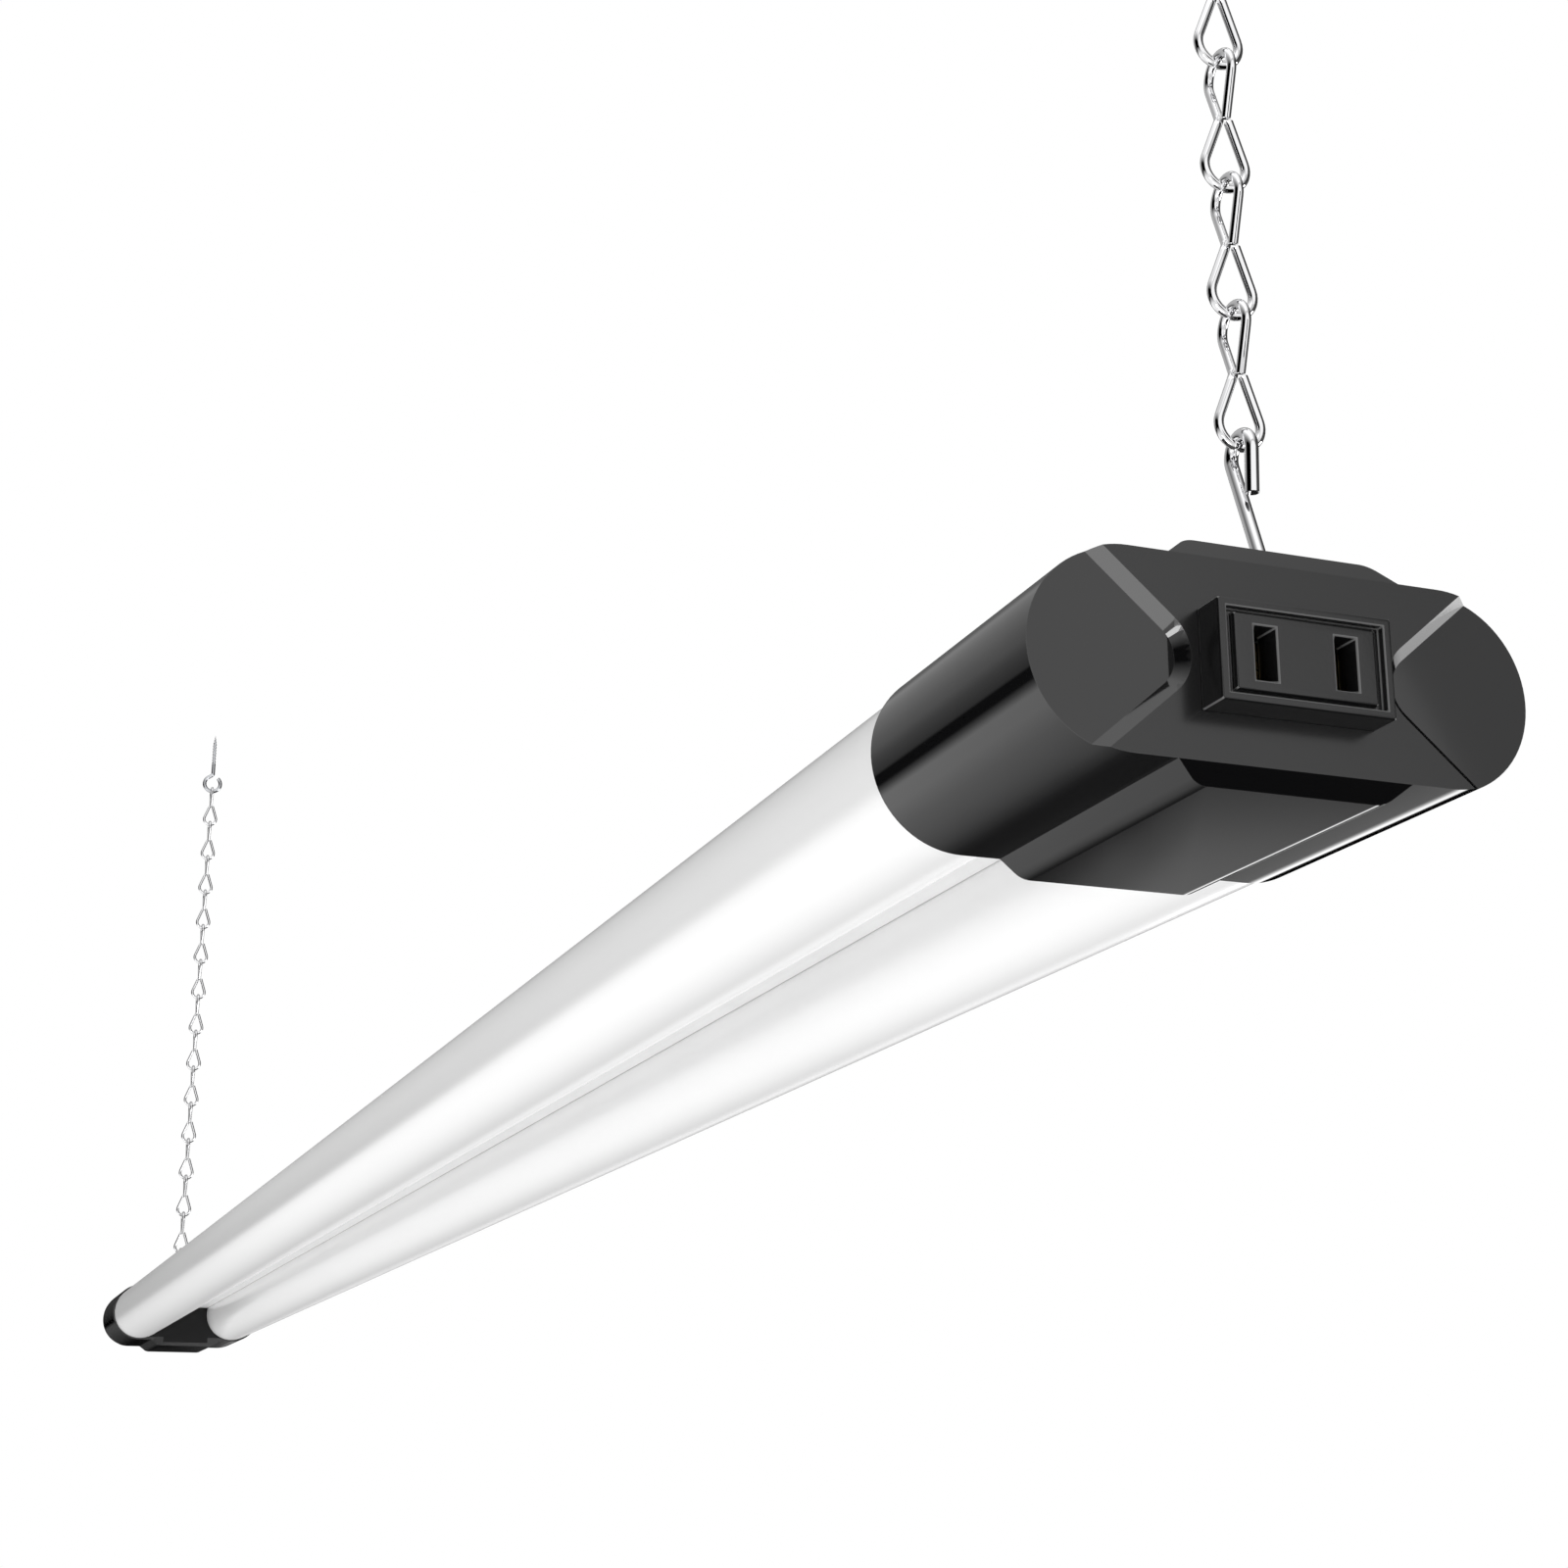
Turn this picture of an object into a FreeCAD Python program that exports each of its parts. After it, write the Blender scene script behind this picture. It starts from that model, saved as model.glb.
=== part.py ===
"""Hanging two-tube shop light: every piece at its real size, in millimetres.

Frame: +Z up, +X along the tubes towards the end that carries the outlet, and the origin at the
ceiling surface, midway between the two ceiling hooks. The light hangs below it at DROP.
"""
import FreeCAD, Part
import math
import os

V = FreeCAD.Vector

# ---- driving dimensions -------------------------------------------------------------------
FIXTURE_LENGTH = 1220.0       # end plate to end plate, a four-foot light
CAP_WIDTH = 80.0
CAP_THICKNESS = 30.0          # without the ridges on the top and the underside
CAP_LENGTH = 57.0
HOOK_SPACING = 1200.0         # between the two ceiling hooks, and between the two chains

# end caps
CAP_RADIUS = CAP_THICKNESS / 2
TUBE_OFFSET = CAP_WIDTH / 2 - CAP_RADIUS          # tube centre line to the middle of the light
CAP_WALL = 1.6
FRONT_WALL = 3.9              # behind the raised plate
RIDGE_HEIGHT = 3.0
RIDGE_FOOT = 18.5             # half width where the ridge leaves the cap
RIDGE_SHOULDER = 15.9         # half width where its flank starts to round over
RIDGE_SHOULDER_HEIGHT = 2.15
RIDGE_FLAT = 13.2             # half width of its flat
RIDGE_BEVEL = 1.9             # how far the front of a ridge leans back
RIDGE_POCKET = 12.0           # half width of the hollow behind a ridge
RIDGE_WALL = 1.8
SOCKET_DEPTH = 20.0           # how far a tube reaches into a cap
BULKHEAD_THICKNESS = 3.0
BOSS_RADIUS = 3.0
BOSS_BORE = 1.45
CAP_SCREW_INSET = 9.0         # from a cap's inner end
CAP_SCREW_HALF_SPACING = 8.0
SLOT_BACK = 0.4               # the hanger's slot, from the chain's line towards the middle
SLOT_FRONT = 7.5              # and towards the end plate
SLOT_SIDE = 0.5               # each side of the hanger's wire
SLOT_BOTTOM = 4.0             # below the pin
PLATE_STEP = 1.73             # the raised plate stands this far in front of the round ends
NOTCH_RADIUS = 7.0            # of the waist in the raised plate
NOTCH_CENTRE = 22.75
NOTCH_SLOPE = 41.0            # degrees, of the straight edges of the raised plate

# tubes, light strips and the spine between the tubes
TUBE_RADIUS = 14.2
TUBE_WALL = 1.2
TUBE_CLEARANCE = 0.05
STRIP_RADIUS = 12.8           # of the rounded back of a heat sink
STRIP_WALL = 1.2
STRIP_SEAT = 6.2              # height of the heat sink's flat face above the tube's centre line
BOARD_WIDTH = 16.0
BOARD_THICKNESS = 1.0
LED_SIZE = (2.8, 3.5, 0.8)
LED_PITCH = 24.0
LED_COUNT = 46
SPINE_TOP = 13.3
SPINE_FLOOR = 3.0
SPINE_HALF_WIDTH = 18.0
SPINE_WALL = 1.3
SPINE_GAP = 0.15              # between the spine's cradles and the tubes
SPINE_PILOT = 1.35            # radius of the screw holes in its top

# chains, hangers and ceiling hooks
LINK_COUNT = 13
LINK_PITCH = 21.4
LINK_WIRE = 1.5
LINK_WIDTH = 8.5              # across the outside of a loop
LINK_GAP = 0.1                # left between two links' wires, so that they turn freely
LINK_END = (1.0, 0.3)         # where a wire end lies at the waist: out from the middle, and up
LINK_WAIST = (0.95, 0.8)      # corners of the strand that crosses the waist
LINK_WAIST_BEND = 1.8
HANGER_WIRE = 2.1
HANGER_CROWN = 2.9            # centre line radius of the hook at its top
HANGER_CONTACT = 38.4         # underside of the hook's crown above the light's centre line
HANGER_LEG = (3.1, 20.0)      # a point on the sloping leg: out from the chain, and up
HANGER_KNEE = (4.6, 16.0)     # where the leg turns back to the pin
HANGER_KNEE_BEND = 2.0
HANGER_TIP = (2.4, 29.4)      # the cut end of the hook
PIN_RADIUS = 1.5
PIN_LENGTH = 11.4
PIN_HEIGHT = 10.0             # above the light's centre line
PIN_HEAD = 2.3
PIN_HEAD_END = 4.4
EYE_CLEARANCE = 0.05
EYE_TURN = 270.0              # degrees of the pin that the eye goes round
BRACKET_BACK = 5.6            # from the pin towards the middle
BRACKET_FRONT = 3.4           # and towards the end plate
BRACKET_DEPTH = 3.0           # below the pin
BRACKET_HALF_WIDTH = 4.4
BRACKET_THICKNESS = 1.2
BRACKET_FLANGE = 17.0         # where its flange ends, from the pin
BRACKET_HOLE = 1.53
SCREW_HEAD = (2.8, 1.6)       # radius and height of a cap screw's head
SCREW_HEAD_ROUND = 0.9
SCREW_SHANK = 1.3
SCREW_REACH = 4.0             # below the spine's top
RECESS = (2.8, 0.6, 1.2)      # length, width and depth of the head's cross recess
RECESS_HEIGHT = 1.4           # of its middle above the ridge
HOOK_WIRE = 2.2
HOOK_RING = 4.7               # centre line radius
HOOK_CONTACT = 14.6           # top of the ring's wire below the ceiling
HOOK_NECK_ANGLE = 125.0       # degrees, where the ring starts below the neck
HOOK_TIP_ANGLE = 410.0        # degrees, where the ring ends, so that its right side is open
HOOK_NECK_BEND = 1.6
SCREW_LENGTH = 20.0           # above the ceiling surface
SCREW_POINT = 6.0
SCREW_TIP = 0.15              # radius of the blunted point

# outlet in the near cap
OUTLET_SIZE = (27.4, 14.8)
OUTLET_CENTRE = (-0.8, -0.4)
OUTLET_STAND = 5.55           # in front of the raised plate
OUTLET_ROUND = 0.35
OUTLET_SLEEVE = (24.4, 12.8)
SLEEVE_REACH = 2.0            # behind the cap's front wall
OUTLET_GROOVE = (24.8, 12.4)
OUTLET_GROOVE_DEPTH = 1.3
INSERT_SIZE = (22.4, 11.2)
INSERT_SETBACK = 0.3
INSERT_DEPTH = 18.0
INSERT_FRONT = 4.0            # solid front, before the contact chambers
INSERT_ROUND = 0.4
SLOT_SPACING = 12.7
SLOT_THROAT = (2.2, 7.2)
SLOT_MOUTH = (3.6, 8.0)
SLOT_FUNNEL = 1.6
CHAMBER_SIZE = (5.0, 8.2)
CONTACT_LEAF = 0.5
CONTACT_GAP = 1.5
CONTACT_HEIGHT = 6.4
CONTACT_LENGTH = 10.0
CONTACT_SETBACK = 0.5         # behind the insert's solid front
CONTACT_BASE = 0.8
TAB_RADIUS = 1.2
TAB_LENGTH = 1.5

# cord inlet in the far cap
GLAND_HEIGHT = -5.0
GLAND_BORE = 3.6
GLAND_BARREL = 5.0
GLAND_COLLAR = 7.0
GLAND_COLLAR_LENGTH = 4.0
GLAND_LIP = 1.6               # rounding of the collar's outer edge
GLAND_CLEARANCE = 0.1
GLAND_INSIDE = 4.5            # length of the barrel inside the front wall
NUT_RADIUS = 6.9
NUT_THICKNESS = 3.0
NUT_CLEARANCE = 0.03

# driver in the far cap
DRIVER_FLOOR = -8.4           # top of the driver's board
DRIVER_BOARD = (26.0, 66.0, 1.2)
DRIVER_INSET = 5.0            # from the far cap's end wall to the board
PART_LINE = 15.0              # from the end wall to the tall parts' centres
TRANSFORMER_Y = 16.0
CORE_SIZE = (16.0, 12.0, 11.5)
CORE_FOOT = (14.0, 14.0, 1.5)
WINDING = (6.4, 9.0, 7.2)     # radius, length, and height of its axis
CAPACITOR_Y = (-15.0, -27.0)
CAPACITOR_SIZE = (5.0, 16.0, 0.6)   # radius, height and rounding
CHOKE_Y = 28.0
CHOKE_RING = (4.2, 2.0, 7.0)  # ring radius, core radius, and height of its centre
CHOKE_BASE = (10.0, 6.0, 1.2)
TRANSISTOR_Y = (-15.0, 15.0)
TRANSISTOR_X = (24.5, 26.4, 27.7)   # front, tab's front and back, from the end wall
TRANSISTOR_HALF_WIDTH = 5.0
TRANSISTOR_HEIGHTS = (9.0, 11.6, 14.0)   # body, tab hole and top
TRANSISTOR_HOLE = 1.7
TERMINAL_X = (16.1, 28.1)     # from the end wall
TERMINAL_HALF_WIDTH = 8.0
TERMINAL_HEIGHT = 9.4
TERMINAL_POLE = 4.0           # from the middle to each pole
WELL = (1.7, 3.0, 4.0)        # radius, distance from the block's face, and floor
ENTRY = (1.3, 3.0, 5.0)       # radius, height and depth
WIRE_RADIUS = 0.9
WIRE_BEND = 6.0
WIRE_RUN_HEIGHT = 8.0         # of the through wires inside the spine
WIRE_STRAIGHT = 7.0           # before a contact
LEAD_RADIUS = 0.6
LEAD_BEND = 3.5
LEAD_X = 29.5                 # from the end wall
LEAD_SPREAD = 3.0             # each side of a tube's centre line
LEAD_REACH = 4.0              # along the light strip

# ---- worked-out values ---------------------------------------------------------------------
DROP = HOOK_CONTACT + LINK_COUNT * LINK_PITCH + HANGER_CONTACT
HALF_LENGTH = FIXTURE_LENGTH / 2
RIM = HALF_LENGTH - CAP_LENGTH                     # inner end of a cap
CHAIN_X = HOOK_SPACING / 2
CAVITY_FRONT = HALF_LENGTH - FRONT_WALL
SOCKET_END = RIM + SOCKET_DEPTH
TUBE_HALF = SOCKET_END - 1.0
SPINE_HALF = SOCKET_END - 2.0
STRIP_HALF = TUBE_HALF - 2.0
LINK_RADIUS = (LINK_WIDTH - LINK_WIRE) / 2
RIDGE_TOP = CAP_RADIUS + RIDGE_HEIGHT
POCKET_TOP = RIDGE_TOP - RIDGE_WALL
EYE_RADIUS = PIN_RADIUS + EYE_CLEARANCE + HANGER_WIRE / 2


def save(name, shape):
    """Writes one node and says what it holds."""
    shape = shape.removeSplitter() if len(shape.Solids) == 1 else shape
    assert shape.isValid(), name
    shape.exportStep("parts/" + name + ".step")
    print("%-22s solids %3d  volume %10.2f" % (name, len(shape.Solids), shape.Volume))


def lowered(shape):
    """Moves a piece of the light from its own centre line down to where it hangs."""
    moved = shape.copy()
    moved.translate(V(0, 0, -DROP))
    return moved


def box(low, high):
    """A block from its lowest to its highest corner."""
    size = [b - a for a, b in zip(low, high)]
    return Part.makeBox(size[0], size[1], size[2], V(*low))


def block(centre, size):
    """A block round a centre."""
    return box([c - s / 2 for c, s in zip(centre, size)], [c + s / 2 for c, s in zip(centre, size)])


def rod(radius, start, end):
    """A round bar between two points."""
    start, end = V(*start), V(*end)
    return Part.makeCylinder(radius, (end - start).Length, start, end - start)


def outline(start, *steps):
    """A closed wire in the YZ plane. A step is an end point, or a middle and an end of an arc."""
    edges = []
    here = V(0, *start)
    for step in steps + (start,):
        if isinstance(step[0], tuple):
            middle, end = V(0, *step[0]), V(0, *step[1])
            edges.append(Part.Arc(here, middle, end).toShape())
        else:
            end = V(0, *step)
            if (end - here).Length < 1e-6:
                continue
            edges.append(Part.LineSegment(here, end).toShape())
        here = end
    return Part.Wire(edges)


def prism(wire, x_from, x_to):
    """Carries an outline in the YZ plane along X."""
    face = Part.Face(wire)
    face.translate(V(x_from, 0, 0))
    return face.extrude(V(x_to - x_from, 0, 0))


def on_circle(centre, radius, degrees):
    """A point on a circle in a plane."""
    angle = math.radians(degrees)
    return (centre[0] + radius * math.cos(angle), centre[1] + radius * math.sin(angle))


def tangent(point, centre, radius, side):
    """Where a line from a point touches a circle. Seen from the centre towards the point, side 1
    is the touch on the left and side -1 the one on the right."""
    away = (point[0] - centre[0], point[1] - centre[1])
    reach = math.hypot(*away)
    turn = side * math.acos(radius / reach)
    bearing = math.atan2(away[1], away[0]) + turn
    return (centre[0] + radius * math.cos(bearing), centre[1] + radius * math.sin(bearing))


def bent_run(points, bends):
    """Edges through points in space, each inner corner rounded to its own bend radius."""
    points = [V(*tuple(p)) for p in points]
    edges = []
    here = points[0]
    for before, corner, after, bend in zip(points, points[1:], points[2:], bends):
        into = (corner - before).normalize()
        out = (after - corner).normalize()
        half_turn = into.getAngle(out) / 2
        trim = bend * math.tan(half_turn)
        start = corner - into * trim
        end = corner + out * trim
        inward = (out - into).normalize()
        middle = corner + inward * (bend / math.cos(half_turn) - bend)
        edges.append(Part.LineSegment(here, start).toShape())
        edges.append(Part.Arc(start, middle, end).toShape())
        here = end
    edges.append(Part.LineSegment(here, points[-1]).toShape())
    return edges


def wire_along(edges, radius):
    """A round wire along edges that follow on from each other."""
    path = Part.Wire(edges)
    first = edges[0]
    start = first.valueAt(first.FirstParameter)
    heading = first.tangentAt(first.FirstParameter)
    profile = Part.Wire([Part.Circle(start, heading, radius).toShape()])
    return path.makePipeShell([profile], True, False)


def mirrored(shape):
    """The same piece at the far end."""
    return shape.mirror(V(0, 0, 0), V(1, 0, 0))


# ---- end caps ------------------------------------------------------------------------------
def stadium(radius):
    """Two half circles about the tubes' centre lines, joined by straight sides."""
    c = TUBE_OFFSET
    return outline((-c, -radius), (c, -radius), ((c + radius, 0), (c, radius)),
                   (-c, radius), ((-c - radius, 0), (-c, -radius)))


def ridge(side):
    """The low ridge along the top (side 1) or the underside (side -1) of a cap."""
    base = side * (CAP_RADIUS - 1)
    foot = side * CAP_RADIUS
    shoulder = side * (CAP_RADIUS + RIDGE_SHOULDER_HEIGHT)
    top = side * RIDGE_TOP
    round_y = 0.55 * RIDGE_SHOULDER + 0.45 * RIDGE_FLAT
    round_z = side * (CAP_RADIUS + RIDGE_SHOULDER_HEIGHT + 0.75 * (RIDGE_HEIGHT - RIDGE_SHOULDER_HEIGHT))
    return outline((-RIDGE_FOOT, base), (-RIDGE_FOOT, foot), (-RIDGE_SHOULDER, shoulder),
                   ((-round_y, round_z), (-RIDGE_FLAT, top)), (RIDGE_FLAT, top),
                   ((round_y, round_z), (RIDGE_SHOULDER, shoulder)), (RIDGE_FOOT, foot),
                   (RIDGE_FOOT, base))


def notch_wire(side, x, offset):
    """The edge of the raised plate on one side, closed far outside the cap."""
    radius = NOTCH_RADIUS - offset
    slope = math.radians(NOTCH_SLOPE)
    touch = (NOTCH_CENTRE - radius * math.sin(slope), radius * math.cos(slope))
    rise = CAP_RADIUS + 5 - touch[1]
    corner = (touch[0] + rise / math.tan(slope), CAP_RADIUS + 5)
    apex = (NOTCH_CENTRE - radius, 0)
    wire = outline((side * touch[0], touch[1]), ((side * apex[0], 0), (side * touch[0], -touch[1])),
                   (side * corner[0], -corner[1]), (side * 60, -corner[1]), (side * 60, corner[1]),
                   (side * corner[0], corner[1]))
    wire.translate(V(x, 0, 0))
    return wire


def notch(side):
    """What is cut away beside the raised plate, with its sloping edge."""
    step = HALF_LENGTH - PLATE_STEP
    low = notch_wire(side, step, PLATE_STEP)
    high = notch_wire(side, HALF_LENGTH + 0.5, -0.5)
    return Part.makeLoft([low, high], True, True)


def bevel(side):
    """Cuts the front of a ridge back to its slope."""
    x = HALF_LENGTH
    corners = [V(x, -30, side * CAP_RADIUS), V(x - RIDGE_BEVEL, -30, side * RIDGE_TOP),
               V(x - RIDGE_BEVEL, -30, side * (RIDGE_TOP + 1)), V(x + 1, -30, side * (RIDGE_TOP + 1)),
               V(x + 1, -30, side * CAP_RADIUS)]
    return Part.Face(Part.makePolygon(corners + corners[:1])).extrude(V(0, 60, 0))


def cap_screw_places():
    """Where the screws go down through the near cap into the spine."""
    return [(RIM + CAP_SCREW_INSET, side * CAP_SCREW_HALF_SPACING) for side in (-1, 1)]


def end_cap():
    """One moulded cup, with its raised plate, ridges, tube sockets and screw bosses."""
    x = HALF_LENGTH
    cap = prism(stadium(CAP_RADIUS), RIM, x)
    cap = cap.fuse([prism(ridge(1), RIM, x), prism(ridge(-1), RIM, x)])
    cap = cap.cut([notch(-1), notch(1), bevel(-1), bevel(1)])
    hollow = prism(stadium(CAP_RADIUS - CAP_WALL), RIM - 1, CAVITY_FRONT)
    pocket = box((RIM - 1, -RIDGE_POCKET, -POCKET_TOP), (CAVITY_FRONT, RIDGE_POCKET, POCKET_TOP))
    sockets = [rod(TUBE_RADIUS + TUBE_CLEARANCE, (RIM - 1, s * TUBE_OFFSET, 0),
                   (SOCKET_END, s * TUBE_OFFSET, 0)) for s in (-1, 1)]
    cap = cap.cut([hollow, pocket] + sockets)
    bosses = [rod(BOSS_RADIUS, (px, py, SPINE_TOP), (px, py, POCKET_TOP + 0.5))
              for px, py in cap_screw_places()]
    cap = cap.fuse(bosses)
    holes = [rod(BOSS_BORE, (px, py, SPINE_TOP - 1), (px, py, RIDGE_TOP + 1))
             for px, py in cap_screw_places()]
    return cap.cut(holes + [hanger_slot()])


def hanger_slot():
    """The slot in the top of a cap that the hanger's leg swings in, and its relief in the front wall."""
    half_width = HANGER_WIRE / 2 + SLOT_SIDE
    return box((CHAIN_X - SLOT_BACK, -half_width, PIN_HEIGHT - SLOT_BOTTOM),
               (CHAIN_X + SLOT_FRONT, half_width, RIDGE_TOP + 1))


def near_cap():
    """The cap with the outlet's opening."""
    y, z = OUTLET_CENTRE
    opening = block((HALF_LENGTH, y, z), (4 * FRONT_WALL, OUTLET_SLEEVE[0], OUTLET_SLEEVE[1]))
    return end_cap().cut(opening)


def far_cap():
    """The cap with the cord inlet's hole."""
    hole = rod(GLAND_BARREL + GLAND_CLEARANCE, (HALF_LENGTH - 2 * FRONT_WALL, 0, GLAND_HEIGHT),
               (HALF_LENGTH + 1, 0, GLAND_HEIGHT))
    return mirrored(end_cap().cut(hole))


def bulkhead():
    """The plate that closes a cap between the tubes, with the spine's opening in it."""
    back = RIM + BULKHEAD_THICKNESS
    plate = prism(stadium(CAP_RADIUS - CAP_WALL), RIM, back)
    plate = plate.fuse(box((RIM, -RIDGE_POCKET, -POCKET_TOP), (back, RIDGE_POCKET, POCKET_TOP)))
    sockets = [rod(TUBE_RADIUS + TUBE_CLEARANCE, (RIM - 1, s * TUBE_OFFSET, 0),
                   (back + 1, s * TUBE_OFFSET, 0)) for s in (-1, 1)]
    spine_way = prism(spine_wire(0), RIM - 1, back + 1)
    plate = plate.cut(sockets + [spine_way])
    return plate.common(box((RIM, -TUBE_OFFSET, -RIDGE_TOP), (back, TUBE_OFFSET, RIDGE_TOP)))


# ---- spine and tubes -----------------------------------------------------------------------
def spine_wire(inset):
    """The spine's section, moved inwards by a wall. Its flanks are cradles round the tubes."""
    radius = TUBE_RADIUS + SPINE_GAP + inset
    top = SPINE_TOP - inset
    floor = SPINE_FLOOR + inset
    edge = SPINE_HALF_WIDTH - inset
    edge_z = math.sqrt(radius ** 2 - (TUBE_OFFSET - edge) ** 2)
    if edge_z > top - 0.05:
        edge = TUBE_OFFSET - math.sqrt(radius ** 2 - top ** 2)
        edge_z = top
    foot = TUBE_OFFSET - math.sqrt(radius ** 2 - floor ** 2)
    middle_z = (edge_z + floor) / 2
    middle = TUBE_OFFSET - math.sqrt(radius ** 2 - middle_z ** 2)
    return outline((-edge, top), (edge, top), (edge, edge_z), ((middle, middle_z), (foot, floor)),
                   (-foot, floor), ((-middle, middle_z), (-edge, edge_z)))


def spine():
    """The hollow extrusion between the tubes, with its screw holes."""
    bar = prism(spine_wire(0), -SPINE_HALF, SPINE_HALF)
    bar = bar.cut(prism(spine_wire(SPINE_WALL), -SPINE_HALF - 1, SPINE_HALF + 1))
    holes = [rod(SPINE_PILOT, (end * px, py, SPINE_TOP - 2 * SPINE_WALL), (end * px, py, SPINE_TOP + 1))
             for end in (-1, 1) for px, py in cap_screw_places()]
    return bar.cut(holes)


def tube(side):
    """A milky tube that covers one light strip."""
    y = side * TUBE_OFFSET
    outer = rod(TUBE_RADIUS, (-TUBE_HALF, y, 0), (TUBE_HALF, y, 0))
    return outer.cut(rod(TUBE_RADIUS - TUBE_WALL, (-TUBE_HALF - 1, y, 0), (TUBE_HALF + 1, y, 0)))


def strip_wire(radius, seat):
    """A chord and the arc above it."""
    half = math.sqrt(radius ** 2 - seat ** 2)
    return outline((-half, seat), (half, seat), ((0, radius), (-half, seat)))


def heat_sink(side):
    """A hollow aluminium strip with a round back, along the top of a tube."""
    strip = prism(strip_wire(STRIP_RADIUS, STRIP_SEAT), -STRIP_HALF, STRIP_HALF)
    inner = strip_wire(STRIP_RADIUS - STRIP_WALL, STRIP_SEAT + STRIP_WALL)
    strip = strip.cut(prism(inner, -STRIP_HALF - 1, STRIP_HALF + 1))
    strip.translate(V(0, side * TUBE_OFFSET, 0))
    return strip


def led_board(side):
    """The long circuit board under a heat sink."""
    z = STRIP_SEAT - BOARD_THICKNESS / 2
    return block((0, side * TUBE_OFFSET, z), (2 * STRIP_HALF, BOARD_WIDTH, BOARD_THICKNESS))


def leds(side):
    """A row of small lamps under a board."""
    z = STRIP_SEAT - BOARD_THICKNESS - LED_SIZE[2] / 2
    first = -LED_PITCH * (LED_COUNT - 1) / 2
    return Part.makeCompound([block((first + LED_PITCH * i, side * TUBE_OFFSET, z), LED_SIZE)
                              for i in range(LED_COUNT)])


# ---- outlet --------------------------------------------------------------------------------
def outlet_frame():
    """The rectangular frame in front of the near cap, and its sleeve through the cap's wall."""
    y, z = OUTLET_CENTRE
    front = HALF_LENGTH + OUTLET_STAND
    frame = box((HALF_LENGTH, y - OUTLET_SIZE[0] / 2, z - OUTLET_SIZE[1] / 2),
                (front, y + OUTLET_SIZE[0] / 2, z + OUTLET_SIZE[1] / 2))
    front_edges = [e for e in frame.Edges if abs(e.BoundBox.XMin - front) < 1e-6]
    frame = frame.makeFillet(OUTLET_ROUND, front_edges)
    sleeve_end = CAVITY_FRONT - SLEEVE_REACH
    sleeve = box((sleeve_end, y - OUTLET_SLEEVE[0] / 2, z - OUTLET_SLEEVE[1] / 2),
                 (HALF_LENGTH, y + OUTLET_SLEEVE[0] / 2, z + OUTLET_SLEEVE[1] / 2))
    groove = block((front, y, z), (2 * OUTLET_GROOVE_DEPTH, OUTLET_GROOVE[0], OUTLET_GROOVE[1]))
    way = block((HALF_LENGTH, y, z), (2 * INSERT_DEPTH, INSERT_SIZE[0], INSERT_SIZE[1]))
    return frame.fuse(sleeve).cut([groove, way])


def slot_funnel(y, z, front):
    """The mouth of one slot, narrowing to its throat."""
    rings = []
    for x, (width, height) in ((front + 0.01, SLOT_MOUTH), (front - SLOT_FUNNEL, SLOT_THROAT)):
        corners = [V(x, y + a * width / 2, z + b * height / 2)
                   for a, b in ((-1, -1), (1, -1), (1, 1), (-1, 1))]
        rings.append(Part.makePolygon(corners + corners[:1]))
    return Part.makeLoft(rings, True, True)


def slot_places():
    """Centres of the outlet's two slots."""
    y, z = OUTLET_CENTRE
    return [(y - SLOT_SPACING / 2, z), (y + SLOT_SPACING / 2, z)]


def outlet_insert():
    """The socket body: two funnelled slots, with a chamber for a contact behind each."""
    y, z = OUTLET_CENTRE
    front = HALF_LENGTH + OUTLET_STAND - INSERT_SETBACK
    body = box((front - INSERT_DEPTH, y - INSERT_SIZE[0] / 2, z - INSERT_SIZE[1] / 2),
               (front, y + INSERT_SIZE[0] / 2, z + INSERT_SIZE[1] / 2))
    front_edges = [e for e in body.Edges if e.BoundBox.XMin > front - 1e-6]
    body = body.makeFillet(INSERT_ROUND, front_edges)
    cuts = []
    for sy, sz in slot_places():
        cuts.append(slot_funnel(sy, sz, front))
        cuts.append(block((front - INSERT_FRONT, sy, sz),
                          (2 * INSERT_FRONT, SLOT_THROAT[0], SLOT_THROAT[1])))
        cuts.append(box((front - INSERT_DEPTH - 1, sy - CHAMBER_SIZE[0] / 2, sz - CHAMBER_SIZE[1] / 2),
                        (front - INSERT_FRONT, sy + CHAMBER_SIZE[0] / 2, sz + CHAMBER_SIZE[1] / 2)))
    return body.cut(cuts)


def contact_back():
    """Where the contacts' backs lie along X."""
    front = HALF_LENGTH + OUTLET_STAND - INSERT_SETBACK
    return front - INSERT_FRONT - CONTACT_SETBACK - CONTACT_LENGTH


def outlet_contacts():
    """Two folded brass contacts, each with two leaves and a tab for its wire."""
    pieces = []
    back = contact_back()
    for y, z in slot_places():
        low, high = z - CONTACT_HEIGHT / 2, z + CONTACT_HEIGHT / 2
        inner, outer = CONTACT_GAP / 2, CONTACT_GAP / 2 + CONTACT_LEAF
        base = box((back, y - outer, low), (back + CONTACT_BASE, y + outer, high))
        left = box((back, y - outer, low), (back + CONTACT_LENGTH, y - inner, high))
        right = box((back, y + inner, low), (back + CONTACT_LENGTH, y + outer, high))
        tab = rod(TAB_RADIUS, (back - TAB_LENGTH, y, z), (back, y, z))
        pieces.append(base.fuse([left, right, tab]).removeSplitter())
    return Part.makeCompound(pieces)


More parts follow.
